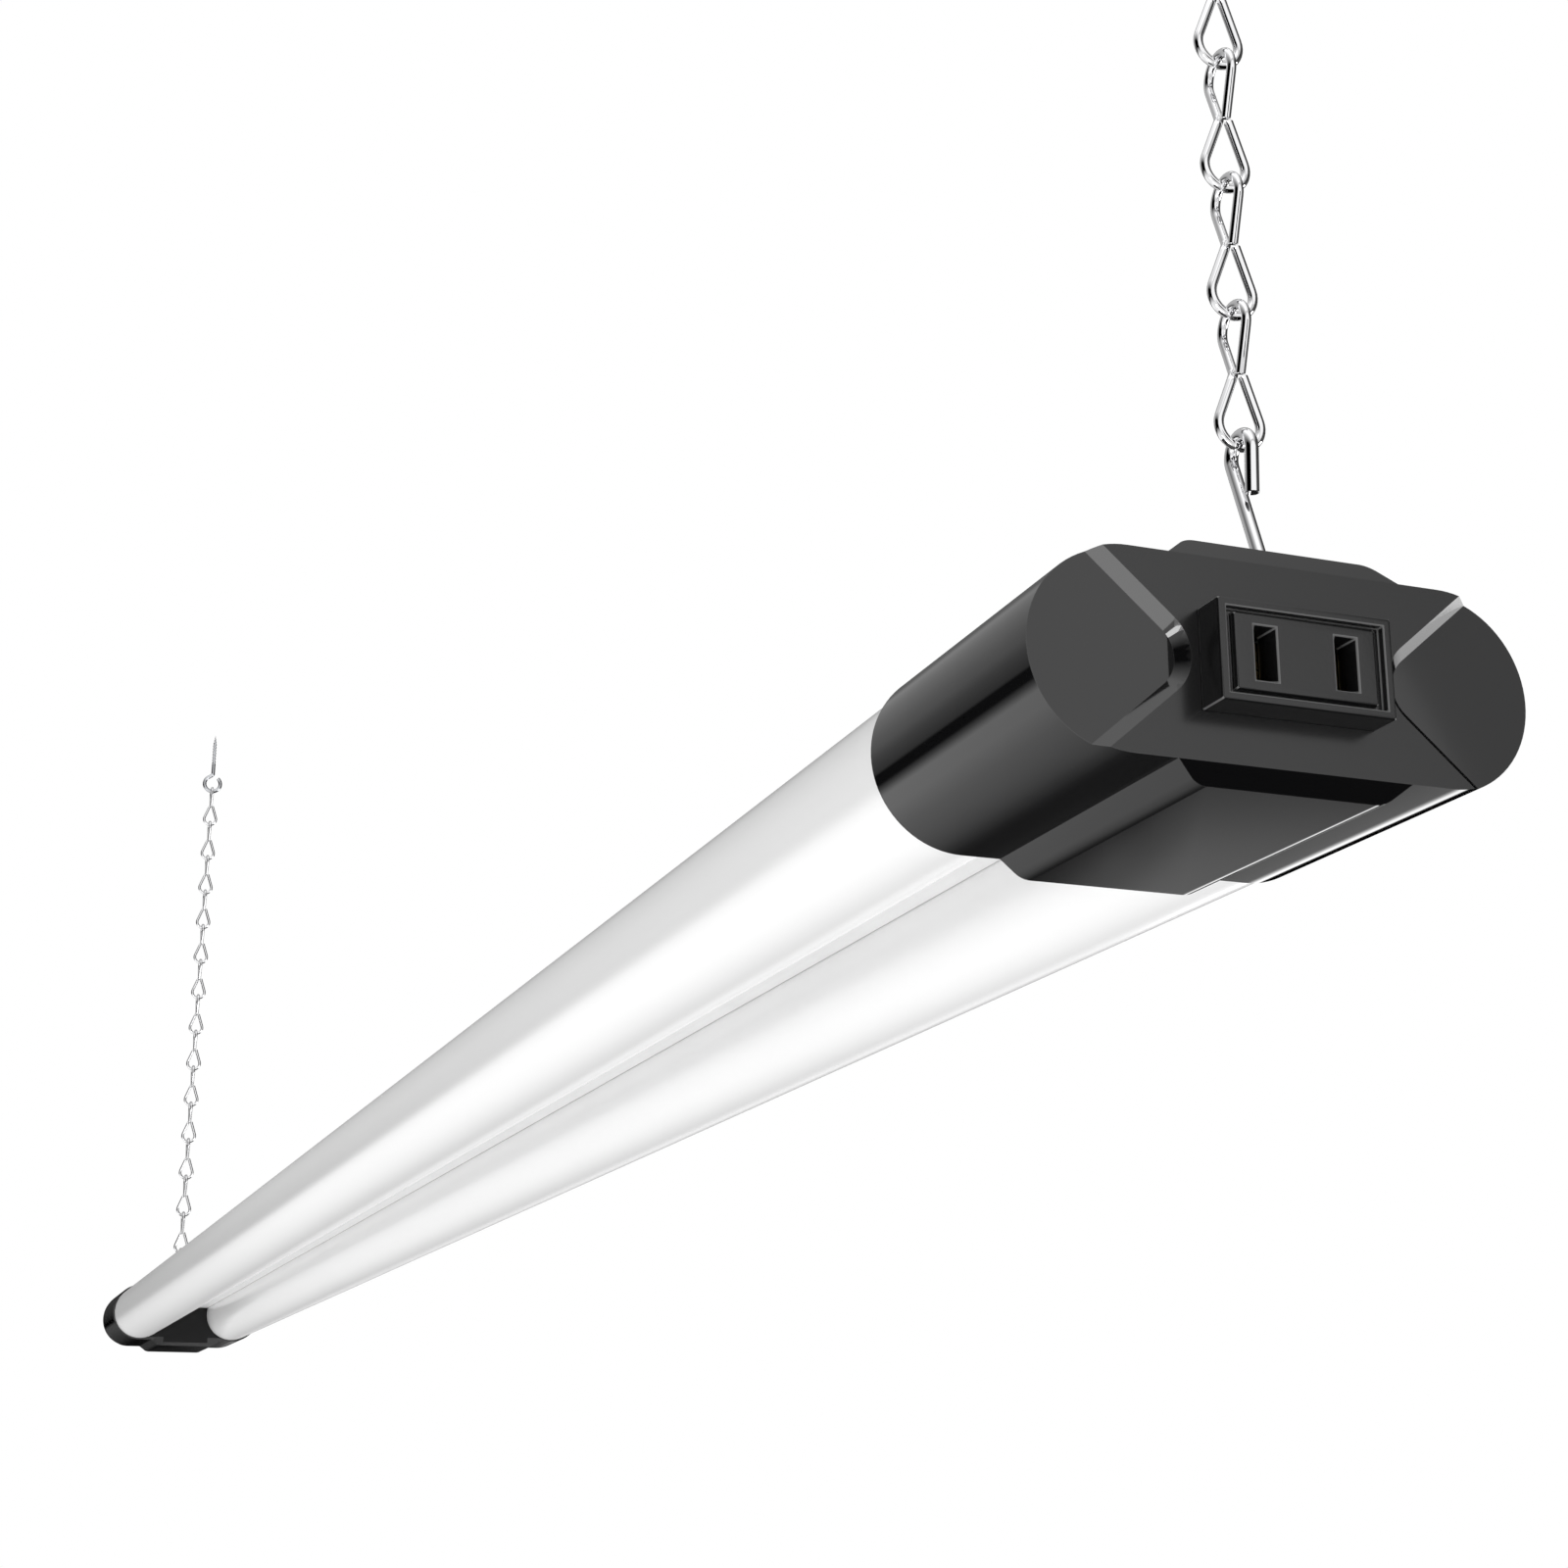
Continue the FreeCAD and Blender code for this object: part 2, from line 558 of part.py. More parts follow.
# ---- cord inlet ----------------------------------------------------------------------------
def cord_gland():
    """The collared bushing that a cord enters by, through the far cap's end wall."""
    z = GLAND_HEIGHT
    face = -HALF_LENGTH
    inner = face + FRONT_WALL + GLAND_INSIDE
    collar = rod(GLAND_COLLAR, (face - GLAND_COLLAR_LENGTH, 0, z), (face, 0, z))
    lip = [e for e in collar.Edges if e.BoundBox.XMax < face - GLAND_COLLAR_LENGTH + 1e-3]
    collar = collar.makeFillet(GLAND_LIP, lip)
    body = collar.fuse(rod(GLAND_BARREL, (face, 0, z), (inner, 0, z)))
    return body.cut(rod(GLAND_BORE, (face - GLAND_COLLAR_LENGTH - 1, 0, z), (inner + 1, 0, z)))


def gland_nut():
    """The six-sided nut that holds the bushing from inside."""
    x = -HALF_LENGTH + FRONT_WALL
    corners = [V(x, *on_circle((0, GLAND_HEIGHT), NUT_RADIUS, 60 * i + 30)) for i in range(6)]
    nut = Part.Face(Part.makePolygon(corners + corners[:1])).extrude(V(NUT_THICKNESS, 0, 0))
    return nut.cut(rod(GLAND_BARREL + NUT_CLEARANCE, (x - 1, 0, GLAND_HEIGHT),
                       (x + NUT_THICKNESS + 1, 0, GLAND_HEIGHT)))


# ---- driver --------------------------------------------------------------------------------
def driver_x(distance):
    """A place measured inwards from the far cap's end wall."""
    return -CAVITY_FRONT + distance


def standing(distance, y, size, lift=0.0):
    """A block that stands on the driver's board, or a little above it."""
    x = driver_x(distance)
    return box((x - size[0] / 2, y - size[1] / 2, DRIVER_FLOOR + lift),
               (x + size[0] / 2, y + size[1] / 2, DRIVER_FLOOR + lift + size[2]))


def driver_board():
    """The driver's circuit board, flat in the bottom of the far cap."""
    length, width, thickness = DRIVER_BOARD
    return standing(DRIVER_INSET + length / 2, 0.0, DRIVER_BOARD, -thickness)


def driver_transformer():
    """A ferrite core with a taped winding round its middle."""
    y = TRANSFORMER_Y
    radius, length, height = WINDING
    core = standing(PART_LINE, y, CORE_SIZE, CORE_FOOT[2])
    winding = rod(radius, (driver_x(PART_LINE) - length / 2, y, DRIVER_FLOOR + height),
                  (driver_x(PART_LINE) + length / 2, y, DRIVER_FLOOR + height))
    return core.fuse([winding, standing(PART_LINE, y, CORE_FOOT)]).removeSplitter()


def driver_capacitors():
    """Two round capacitors, standing."""
    cans = []
    x = driver_x(PART_LINE)
    radius, height, rounding = CAPACITOR_SIZE
    for y in CAPACITOR_Y:
        can = rod(radius, (x, y, DRIVER_FLOOR), (x, y, DRIVER_FLOOR + height))
        rims = [e for e in can.Edges if len(e.Vertexes) == 1]
        cans.append(can.makeFillet(rounding, rims))
    return Part.makeCompound(cans)


def driver_choke():
    """The filter's ring core, standing on its edge, on a small base."""
    ring_radius, core_radius, height = CHOKE_RING
    centre = V(driver_x(PART_LINE), CHOKE_Y, DRIVER_FLOOR + height)
    ring = Part.makeTorus(ring_radius, core_radius, centre, V(0, 1, 0))
    return ring.fuse(standing(PART_LINE, CHOKE_Y, CHOKE_BASE))


def driver_transistors():
    """Two flat power packages, each with its tab."""
    parts = []
    front, tab_front, back = [driver_x(x) for x in TRANSISTOR_X]
    body_top, hole, top = [DRIVER_FLOOR + z for z in TRANSISTOR_HEIGHTS]
    for y in TRANSISTOR_Y:
        low, high = y - TRANSISTOR_HALF_WIDTH, y + TRANSISTOR_HALF_WIDTH
        body = box((front, low, DRIVER_FLOOR), (back, high, body_top))
        tab = box((tab_front, low, body_top), (back, high, top))
        tab = tab.cut(rod(TRANSISTOR_HOLE, (front, y, hole), (back + 1, y, hole)))
        parts.append(body.fuse(tab).removeSplitter())
    return Part.makeCompound(parts)


def terminal_block():
    """The block that the cord's cores and the through wires meet in, with its screw wells."""
    low, high = [driver_x(x) for x in TERMINAL_X]
    top = DRIVER_FLOOR + TERMINAL_HEIGHT
    body = box((low, -TERMINAL_HALF_WIDTH, DRIVER_FLOOR), (high, TERMINAL_HALF_WIDTH, top))
    radius, inset, floor = WELL
    wells = [rod(radius, (low + inset, s * TERMINAL_POLE, DRIVER_FLOOR + floor),
                 (low + inset, s * TERMINAL_POLE, top + 1)) for s in (-1, 1)]
    radius, height, depth = ENTRY
    entries = [rod(radius, (low - 1, s * TERMINAL_POLE, DRIVER_FLOOR + height),
                   (low + depth, s * TERMINAL_POLE, DRIVER_FLOOR + height)) for s in (-1, 1)]
    return body.cut(wells + entries)


def through_wire(side):
    """One insulated wire: from the terminal block, through the spine, to an outlet contact."""
    x_block = driver_x(sum(TERMINAL_X) / 2)
    y_slot, z_slot = slot_places()[0 if side < 0 else 1]
    y, run = side * TERMINAL_POLE, WIRE_RUN_HEIGHT
    end = contact_back() - TAB_LENGTH
    points = [(x_block, y, DRIVER_FLOOR + TERMINAL_HEIGHT), (x_block, y, run),
              (SPINE_HALF + WIRE_BEND, y, run), (end - WIRE_STRAIGHT, y_slot, z_slot),
              (end, y_slot, z_slot)]
    return wire_along(bent_run(points, (WIRE_BEND, WIRE_BEND, WIRE_BEND)), WIRE_RADIUS)


def strip_leads():
    """Two thin wires to each light strip, from the driver's board to the end of the LED board."""
    x = driver_x(LEAD_X)
    top = STRIP_SEAT - BOARD_THICKNESS - LEAD_RADIUS
    leads = []
    for side in (-1, 1):
        for spread in (-LEAD_SPREAD, LEAD_SPREAD):
            y = side * (TUBE_OFFSET + spread)
            points = [(x, y, DRIVER_FLOOR), (x, y, top), (-STRIP_HALF + LEAD_REACH, y, top)]
            leads.append(wire_along(bent_run(points, (LEAD_BEND,)), LEAD_RADIUS))
    return Part.makeCompound(leads)


# ---- hangers, their pins and brackets --------------------------------------------------------
def hanger():
    """The bent wire hook: an eye round the pin, a sloping leg, a crown and a cut tip."""
    pin = (0.0, PIN_HEIGHT)
    crown = (0.0, HANGER_CONTACT + HANGER_WIRE / 2 - HANGER_CROWN)
    knee = HANGER_KNEE
    eye_exit = tangent(knee, pin, EYE_RADIUS, -1)
    leg_top = tangent(HANGER_LEG, crown, HANGER_CROWN, -1)
    tip_top = tangent(HANGER_TIP, crown, HANGER_CROWN, 1)
    exit_angle = math.degrees(math.atan2(eye_exit[1] - pin[1], eye_exit[0] - pin[0]))
    eye_start = exit_angle - EYE_TURN
    eye = Part.Arc(flat(on_circle(pin, EYE_RADIUS, eye_start)),
                   flat(on_circle(pin, EYE_RADIUS, exit_angle - EYE_TURN / 2)), flat(eye_exit)).toShape()
    leg = bent_run([space(eye_exit), space(knee), space(leg_top)], (HANGER_KNEE_BEND,))
    top = Part.Arc(flat(leg_top), flat((crown[0], crown[1] + HANGER_CROWN)), flat(tip_top)).toShape()
    tip = Part.LineSegment(flat(tip_top), flat(HANGER_TIP)).toShape()
    wire = wire_along([eye] + leg + [top, tip], HANGER_WIRE / 2)
    wire.translate(V(CHAIN_X, 0, 0))
    return wire


def space(point):
    """A point of the hanger's plane, which holds the chain and the tubes' direction."""
    return (point[0], 0.0, point[1])


def flat(point):
    """The same, as a vector."""
    return V(*space(point))


def hanger_bracket():
    """The steel fork under a cap's top that holds the hanger's pin."""
    x, z = CHAIN_X, PIN_HEIGHT
    back, front, low = x - BRACKET_BACK, x + BRACKET_FRONT, z - BRACKET_DEPTH
    half, thick = BRACKET_HALF_WIDTH, BRACKET_THICKNESS
    ears = [box((back, y, low), (front, y + thick, POCKET_TOP)) for y in (-half, half - thick)]
    web = box((back, -half, low), (back + thick, half, POCKET_TOP))
    flange = box((x - BRACKET_FLANGE, -half, POCKET_TOP - thick), (back + thick, half, POCKET_TOP))
    fork = web.fuse(ears + [flange])
    return fork.cut(rod(BRACKET_HOLE, (x, -half - 1, z), (x, half + 1, z))).removeSplitter()


def hanger_pin():
    """The cross pin, with a low head at one end."""
    x, z = CHAIN_X, PIN_HEIGHT
    shank = rod(PIN_RADIUS, (x, -PIN_LENGTH / 2, z), (x, PIN_LENGTH / 2, z))
    head = rod(PIN_HEAD, (x, -PIN_LENGTH / 2, z), (x, -PIN_HEAD_END, z))
    return shank.fuse(head).removeSplitter()


def cap_screw(x, y):
    """A pan-head screw with a cross recess."""
    radius, height = SCREW_HEAD
    head = rod(radius, (x, y, RIDGE_TOP), (x, y, RIDGE_TOP + height))
    rim = [e for e in head.Edges if e.BoundBox.ZMin > RIDGE_TOP + height / 2 and len(e.Vertexes) == 1]
    head = head.makeFillet(SCREW_HEAD_ROUND, rim)
    shank = rod(SCREW_SHANK, (x, y, SPINE_TOP - SCREW_REACH), (x, y, RIDGE_TOP))
    length, width, depth = RECESS
    middle = (x, y, RIDGE_TOP + RECESS_HEIGHT)
    cross = [block(middle, (length, width, depth)), block(middle, (width, length, depth))]
    return head.fuse(shank).cut(cross).removeSplitter()


# ---- chain and ceiling hooks -----------------------------------------------------------------
def half_loop():
    """One loop of a link, in its own plane with the waist at the origin: from the cut end, up and
    round the top, and down to the waist. The points are the end, a touch, the top and a touch."""
    top = (LINK_PITCH + LINK_GAP) / 2 + LINK_WIRE / 2
    centre = (0.0, top - LINK_RADIUS)
    end_touch = tangent(LINK_END, centre, LINK_RADIUS, 1)
    waist_touch = tangent((-LINK_WAIST[0], LINK_WAIST[1]), centre, LINK_RADIUS, -1)
    return LINK_END, end_touch, (0.0, top), waist_touch


def link(x, z):
    """One chain link of a single bent wire: a loop along X above, a loop across it below."""
    above = [V(out, 0, up) for out, up in half_loop()]
    below = [V(0, out, -up) for out, up in reversed(half_loop())]
    out, up = LINK_WAIST
    waist = [above[3], V(-out, 0, up), V(0, -out, -up), below[0]]
    edges = [Part.LineSegment(above[0], above[1]).toShape(), Part.Arc(*above[1:]).toShape()]
    edges += bent_run(waist, (LINK_WAIST_BEND, LINK_WAIST_BEND))
    edges += [Part.Arc(*below[:3]).toShape(), Part.LineSegment(below[2], below[3]).toShape()]
    wire = wire_along(edges, LINK_WIRE / 2)
    wire.translate(V(x, 0, z))
    return wire


def link_height(number):
    """The height of a link's waist, counted down from 1 at the ceiling hook."""
    return -HOOK_CONTACT - LINK_PITCH * (number - 0.5)


def ceiling_hook(x):
    """A wood screw whose neck turns into an open ring across the light."""
    centre = (0.0, -HOOK_CONTACT - HOOK_WIRE / 2 + HOOK_RING)
    start = on_circle(centre, HOOK_RING, HOOK_NECK_ANGLE)
    heading = math.radians(HOOK_NECK_ANGLE + 90)
    slope = math.sin(heading) / math.cos(heading)
    corner = (0.0, start[1] - slope * start[0])
    points = [(x, 0, SCREW_LENGTH - SCREW_POINT), (x, 0, corner[1]), (x, start[0], start[1])]
    middle = on_circle(centre, HOOK_RING, (HOOK_NECK_ANGLE + HOOK_TIP_ANGLE) / 2)
    end = on_circle(centre, HOOK_RING, HOOK_TIP_ANGLE)
    ring = Part.Arc(V(x, *start), V(x, *middle), V(x, *end)).toShape()
    hook = wire_along(bent_run(points, (HOOK_NECK_BEND,)) + [ring], HOOK_WIRE / 2)
    point = Part.makeCone(HOOK_WIRE / 2, SCREW_TIP, SCREW_POINT, V(x, 0, SCREW_LENGTH - SCREW_POINT),
                          V(0, 0, 1))
    return hook.fuse(point).removeSplitter()


def main():
    """Builds every piece and writes it under its own name."""
    os.makedirs("parts", exist_ok=True)
    for end, name in ((1, "near"), (-1, "far")):
        x = end * CHAIN_X
        save(name + "_ceiling_hook", ceiling_hook(x))
        for number in range(1, LINK_COUNT + 1):
            save("%s_link_%02d" % (name, number), link(x, link_height(number)))
    save("near_hanger", lowered(hanger()))
    save("far_hanger", lowered(mirrored(hanger())))
    save("near_end_cap", lowered(near_cap()))
    save("far_end_cap", lowered(far_cap()))
    save("near_bulkhead", lowered(bulkhead()))
    save("far_bulkhead", lowered(mirrored(bulkhead())))
    save("housing_spine", lowered(spine()))
    for side, name in ((-1, "left"), (1, "right")):
        save(name + "_tube", lowered(tube(side)))
        save(name + "_heat_sink", lowered(heat_sink(side)))
        save(name + "_led_board", lowered(led_board(side)))
        save(name + "_leds", lowered(leds(side)))
    save("outlet_frame", lowered(outlet_frame()))
    save("outlet_insert", lowered(outlet_insert()))
    save("outlet_contacts", lowered(outlet_contacts()))
    save("cord_gland", lowered(cord_gland()))
    save("gland_nut", lowered(gland_nut()))
    save("driver_board", lowered(driver_board()))
    save("driver_transformer", lowered(driver_transformer()))
    save("driver_capacitors", lowered(driver_capacitors()))
    save("driver_choke", lowered(driver_choke()))
    save("driver_transistors", lowered(driver_transistors()))
    save("terminal_block", lowered(terminal_block()))
    save("line_wire", lowered(through_wire(-1)))
    save("neutral_wire", lowered(through_wire(1)))
    save("strip_leads", lowered(strip_leads()))
    brackets = [hanger_bracket(), mirrored(hanger_bracket())]
    save("hanger_brackets", lowered(Part.makeCompound(brackets)))
    save("hanger_pins", lowered(Part.makeCompound([hanger_pin(), mirrored(hanger_pin())])))
    screws = [cap_screw(end * x, y) for end in (-1, 1) for x, y in cap_screw_places()]
    save("cap_screws", lowered(Part.makeCompound(screws)))


main()
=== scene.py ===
"""Hanging two-tube shop light: the looks, laid out as an add-on round the packed solids.

Metres, in the solids' own frame: +Z up, +X along the tubes towards the outlet, and the origin at
the ceiling, midway between the two hooks.
"""
import math

import bmesh
import bpy
import numpy as np
from bpy.props import FloatProperty, FloatVectorProperty, IntProperty, PointerProperty
from mathutils import Matrix, Vector


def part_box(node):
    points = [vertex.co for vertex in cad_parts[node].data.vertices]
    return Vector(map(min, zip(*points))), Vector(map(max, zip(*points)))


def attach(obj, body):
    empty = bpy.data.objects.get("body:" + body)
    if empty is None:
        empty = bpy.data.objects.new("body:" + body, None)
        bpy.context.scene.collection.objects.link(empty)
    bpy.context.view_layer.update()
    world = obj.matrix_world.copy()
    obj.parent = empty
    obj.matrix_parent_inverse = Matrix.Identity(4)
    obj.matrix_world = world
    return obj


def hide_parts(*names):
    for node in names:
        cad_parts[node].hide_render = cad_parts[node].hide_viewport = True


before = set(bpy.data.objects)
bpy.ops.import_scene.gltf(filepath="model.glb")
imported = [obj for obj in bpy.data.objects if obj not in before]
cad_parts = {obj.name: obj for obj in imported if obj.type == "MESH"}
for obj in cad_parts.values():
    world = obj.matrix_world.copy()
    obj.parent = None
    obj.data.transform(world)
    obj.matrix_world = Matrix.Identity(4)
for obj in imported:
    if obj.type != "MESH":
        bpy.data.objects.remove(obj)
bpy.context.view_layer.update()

bl_info = {
    "name": "Hanging shop light",
    "version": (1, 0, 0),
    "blender": (4, 5, 0),
    "location": "View3D > Sidebar > Shop Light",
    "description": "Builds a two-tube shop light on chains, piece by piece",
    "category": "Add Mesh",
}

ENDS = (("near", 1.0), ("far", -1.0))
ALONG, ACROSS, UP = (1.0, 0.0, 0.0), (0.0, 1.0, 0.0), (0.0, 0.0, 1.0)
TUBE_LOW, TUBE_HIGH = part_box("right_tube")
LINK_BOXES = [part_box("near_link_01"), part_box("near_link_02")]
CHAIN_X = (LINK_BOXES[0][0].x + LINK_BOXES[0][1].x) / 2
HOOK_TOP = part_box("near_ceiling_hook")[1].z

WIRE_SIDES = 24
WIRE_CHAMFER = 0.12         # of the wire's radius, at a cut end
TUBE_SIDES = 160
TUBE_RINGS = 40
ARC_STEPS = 24
BEND_STEPS = 10
MOUTH_STEPS = 8
LIP_STEPS = 6
THREAD_RINGS = 10           # in each turn of a thread
THREAD_SLOPE = 2.6          # of a flank: thread depths in one pitch
THREAD_CREST = 0.15         # thread depths that the crest is cut flat by
THREAD_RUN_IN = 0.6         # pitches from the ceiling to the thread's start
POINT_SHARE = 0.07          # of the radius, left at the tip of a screw's point
FLUTE_SIDES = 8
COLLAR_STEP = 0.00002       # along the bushing, from its barrel to its collar
COLLAR_RUN = 0.0002         # along the bushing, before the rounding of its collar
SHARP_ANGLE = math.radians(32.0)
ROUNDED_ANGLE = math.radians(35.0)
ROUNDED_SEGMENTS = 2
FLAT_ANGLE = math.radians(0.4)
MERGE_DISTANCE = 2e-6
END_FACE_DEPTH = 0.0003


def length(name, description, default):
    """A size in metres that the sidebar shows in the scene's own unit."""
    return FloatProperty(name=name, description=description, default=default, min=0.0,
                         unit="LENGTH", precision=5)


def place(name, description, default):
    """A point in a wire's own plane, in metres: out from the chain's line, and up."""
    return FloatVectorProperty(name=name, description=description, default=default, size=2,
                               unit="LENGTH", precision=5)


def bearing(name, description, degrees):
    """An angle that is written here in degrees."""
    return FloatProperty(name=name, description=description, default=math.radians(degrees),
                         subtype="ANGLE", unit="ROTATION")


def tint(name, description, default):
    """A colour that a finish starts from."""
    return FloatVectorProperty(name=name, description=description, default=default, size=3,
                               min=0.0, max=1.0, subtype="COLOR")


class LightSizes(bpy.types.PropertyGroup):
    """Sizes of the light itself."""
    height: FloatProperty(name="Centre line", description="Height of the tubes' centre lines",
                          default=(TUBE_LOW.z + TUBE_HIGH.z) / 2, unit="LENGTH")
    tube_offset: length("Tube offset", "From the middle of the light to a tube's centre line",
                        (TUBE_LOW.y + TUBE_HIGH.y) / 2)
    tube_radius: length("Tube radius", "Outside radius of a tube", (TUBE_HIGH.y - TUBE_LOW.y) / 2)
    tube_wall: length("Tube wall", "Thickness of a tube's wall", 0.0012)
    tube_half: length("Tube half length", "From the middle of a tube to its end", TUBE_HIGH.x)
    tube_lip: length("Tube lip", "Rounding of a tube's ends", 0.0003)
    cap_round: length("Cap edges", "Rounding of an end cap's edges", 0.0003)
    outlet_round: length("Outlet edges", "Rounding of the outlet's edges", 0.0002)
    metal_round: length("Sheet edges", "Rounding of the metal pieces' edges", 0.0002)


class ChainSizes(bpy.types.PropertyGroup):
    """Sizes of the chains' links, each bent from one wire."""
    count: IntProperty(name="Links", description="Links in each chain", default=13, min=1)
    pitch: length("Pitch", "From one link's waist to the next",
                  LINK_BOXES[0][1].z - LINK_BOXES[1][1].z)
    wire: length("Wire", "Diameter of the link wire", 0.0015)
    width: length("Width", "Across the outside of a loop", 0.0085)
    gap: length("Gap", "Left between two links' wires", 0.0001)
    end: place("Cut end", "Where a wire end lies beside the waist", (0.0010, -0.0001))
    waist: place("Waist", "Corner of the strand that crosses the waist", (0.00095, 0.0008))
    bend: length("Waist bend", "Bend radius of the waist's corners", 0.0018)


class HangerSizes(bpy.types.PropertyGroup):
    """Sizes of the wire hooks that carry the light."""
    wire: length("Wire", "Diameter of the hanger wire", 0.0021)
    contact: length("Contact", "Underside of the crown above the light's centre line", 0.0384)
    crown: length("Crown", "Centre line radius of the hook at its top", 0.0029)
    leg: place("Leg", "A point on the sloping leg", (0.0031, 0.0200))
    knee: place("Knee", "Where the leg turns back to the pin", (0.0046, 0.0160))
    bend: length("Knee bend", "Bend radius of the knee", 0.0020)
    tip: place("Tip", "The hook's cut end", (0.0024, 0.0294))
    pin_height: length("Pin height", "Of the cross pin above the centre line", 0.0100)
    eye: length("Eye", "Centre line radius of the eye round the pin", 0.0026)
    eye_turn: bearing("Eye turn", "How far the eye goes round the pin", 270.0)


class HookSizes(bpy.types.PropertyGroup):
    """Sizes of the screw hooks in the ceiling."""
    wire: length("Wire", "Diameter of the hook's wire", 0.0022)
    ring: length("Ring", "Centre line radius of the open ring", 0.0047)
    contact: length("Contact", "Top of the ring's wire below the ceiling", 0.0146)
    neck_bend: length("Neck bend", "Bend radius between the neck and the ring", 0.0016)
    point: length("Point", "Length of the screw's point", 0.0060)
    thread_pitch: length("Thread pitch", "From one turn of the thread to the next", 0.0018)
    thread_depth: length("Thread depth", "From the thread's crest to its root", 0.00036)
    start: bearing("Ring start", "Where the ring leaves the neck", 125.0)
    stop: bearing("Ring end", "Where the ring is cut", 410.0)


class GlandSizes(bpy.types.PropertyGroup):
    """Sizes of the cord inlet's bushing."""
    bore: length("Bore", "Radius of the hole that the cord goes through", 0.0036)
    barrel: length("Barrel", "Radius of the barrel in the cap's wall", 0.0050)
    collar: length("Collar", "Radius of the collar outside the wall", 0.0070)
    lip: length("Lip", "Rounding of the collar's outer edge", 0.0016)
    mouth: length("Mouth", "Rounding of the bore's outer edge", 0.0006)
    flute: length("Flutes", "Depth of the grip flutes round the collar", 0.00022)
    flutes: IntProperty(name="Flute count", description="Grip flutes round the collar", default=24)


class Colours(bpy.types.PropertyGroup):
    """Colours that the finishes start from."""
    cap: tint("Caps", "Moulded end caps", (0.0045, 0.0045, 0.0048))
    outlet: tint("Outlet", "Outlet frame and insert", (0.0045, 0.0045, 0.0047))
    tube: tint("Tubes", "Milky tubes", (0.86, 0.86, 0.86))
    # painted glow: an emission colour that lightens each tube's underside
    painted_glow: tint("Glow", "Light from inside a tube", (0.16, 0.16, 0.16))
    steel: tint("Plated wire", "Chains and hangers", (0.93, 0.93, 0.94))
    zinc: tint("Zinc", "Screws, hooks and brackets", (0.62, 0.63, 0.65))
    housing: tint("Housing", "Painted spine between the tubes", (0.85, 0.85, 0.85))
    aluminium: tint("Aluminium", "Heat sinks", (0.70, 0.71, 0.72))
    floor: tint("Floor", "Studio floor", (0.90, 0.90, 0.90))


# ---- lines and surfaces --------------------------------------------------------------------
def unit(vectors):
    """Each vector over its own length."""
    return vectors / np.linalg.norm(vectors, axis=-1, keepdims=True)


def touch(point, centre, radius, side):
    """Where a line from a point touches a circle, as a bearing from the circle's centre: the
    point's bearing, turned by side times the angle whose cosine is radius over distance."""
    away = np.subtract(point, centre)
    return math.atan2(away[1], away[0]) + side * math.acos(radius / np.linalg.norm(away))


def arc(centre, radius, start, stop, steps=ARC_STEPS):
    """Points of a circle: the centre plus the radius times the cosine and the sine of angles
    spread evenly from start to stop."""
    angle = np.linspace(start, stop, steps)[:, None]
    return np.asarray(centre) + radius * np.hstack([np.cos(angle), np.sin(angle)])


def bend(before, corner, after, radius):
    """The arc that rounds a corner in space. It starts where the run in is as far from the corner
    as radius times the tangent of half the turn, and goes round by the whole turn."""
    run_in, run_out = unit(np.subtract(corner, before)), unit(np.subtract(after, corner))
    straight = float(run_in @ run_out)
    turn = math.acos(straight)
    start = corner - run_in * radius * math.tan(turn / 2)
    inward = unit(run_out - run_in * straight)
    centre = start + inward * radius
    angle = np.linspace(0.0, turn, BEND_STEPS)[:, None]
    return centre - inward * radius * np.cos(angle) + run_in * radius * np.sin(angle)


def in_plane(points, along, up=UP):
    """Points of a plane as points in space: first coordinate times one axis, second times up."""
    return points[:, :1] * np.asarray(along) + points[:, 1:] * np.asarray(up)


def run_length(line):
    """How far along a line each of its points lies: the sum of the steps up to it."""
    return np.concatenate([[0.0], np.cumsum(np.linalg.norm(np.diff(line, axis=0), axis=1))])


def grid_faces(rows, columns, closed):
    """The faces of a grid of points, rows by columns: each joins four neighbours. The columns
    always wrap round, and in a closed grid the rows do too."""
    row = np.arange(rows if closed else rows - 1)[:, None]
    column = np.arange(columns)[None, :]
    after, beside = (row + 1) % rows, (column + 1) % columns
    corners = [row * columns + column, row * columns + beside,
               after * columns + beside, after * columns + column]
    return np.stack(corners, axis=-1).reshape(-1, 4)


def mesh_piece(name, points, distance, closed, body, slot, node):
    """A piece from a grid of points. Where its rows don't close, one flat face closes each end.
    Its surface map holds the turn along a row and the distance from row to row."""
    rows, columns = points.shape[:2]
    quads = grid_faces(rows, columns, closed)
    faces = quads.tolist()
    turns = (quads[:, :1] % columns + [0, 1, 1, 0]) / columns
    layout = np.stack([turns, distance[quads // columns]], axis=-1).reshape(-1, 2)
    if not closed:
        faces += [list(range(columns))[::-1], list(range((rows - 1) * columns, rows * columns))]
        ends = np.repeat([[0.0, distance[0]], [0.0, distance[-1]]], columns, axis=0)
        layout = np.vstack([layout, ends])
    mesh = bpy.data.meshes.new(name)
    mesh.from_pydata(points.reshape(-1, 3).tolist(), [], faces)
    mesh.uv_layers.new(name="Surface")
    mesh.uv_layers["Surface"].data.foreach_set("uv", layout.astype(np.float32).ravel())
    add_piece(name, mesh, body, slot, node)


def add_piece(name, mesh, body, slot, node):
    """Shades a mesh smooth up to its sharp edges, and sets it on its body in place of a node."""
    mesh.materials.append(finish(slot))
    mesh.shade_smooth()
    mesh.set_sharp_from_angle(angle=SHARP_ANGLE)
    piece = bpy.data.objects.new(name, mesh)
    bpy.context.scene.collection.objects.link(piece)
    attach(piece, body)
    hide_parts(node)
    return piece


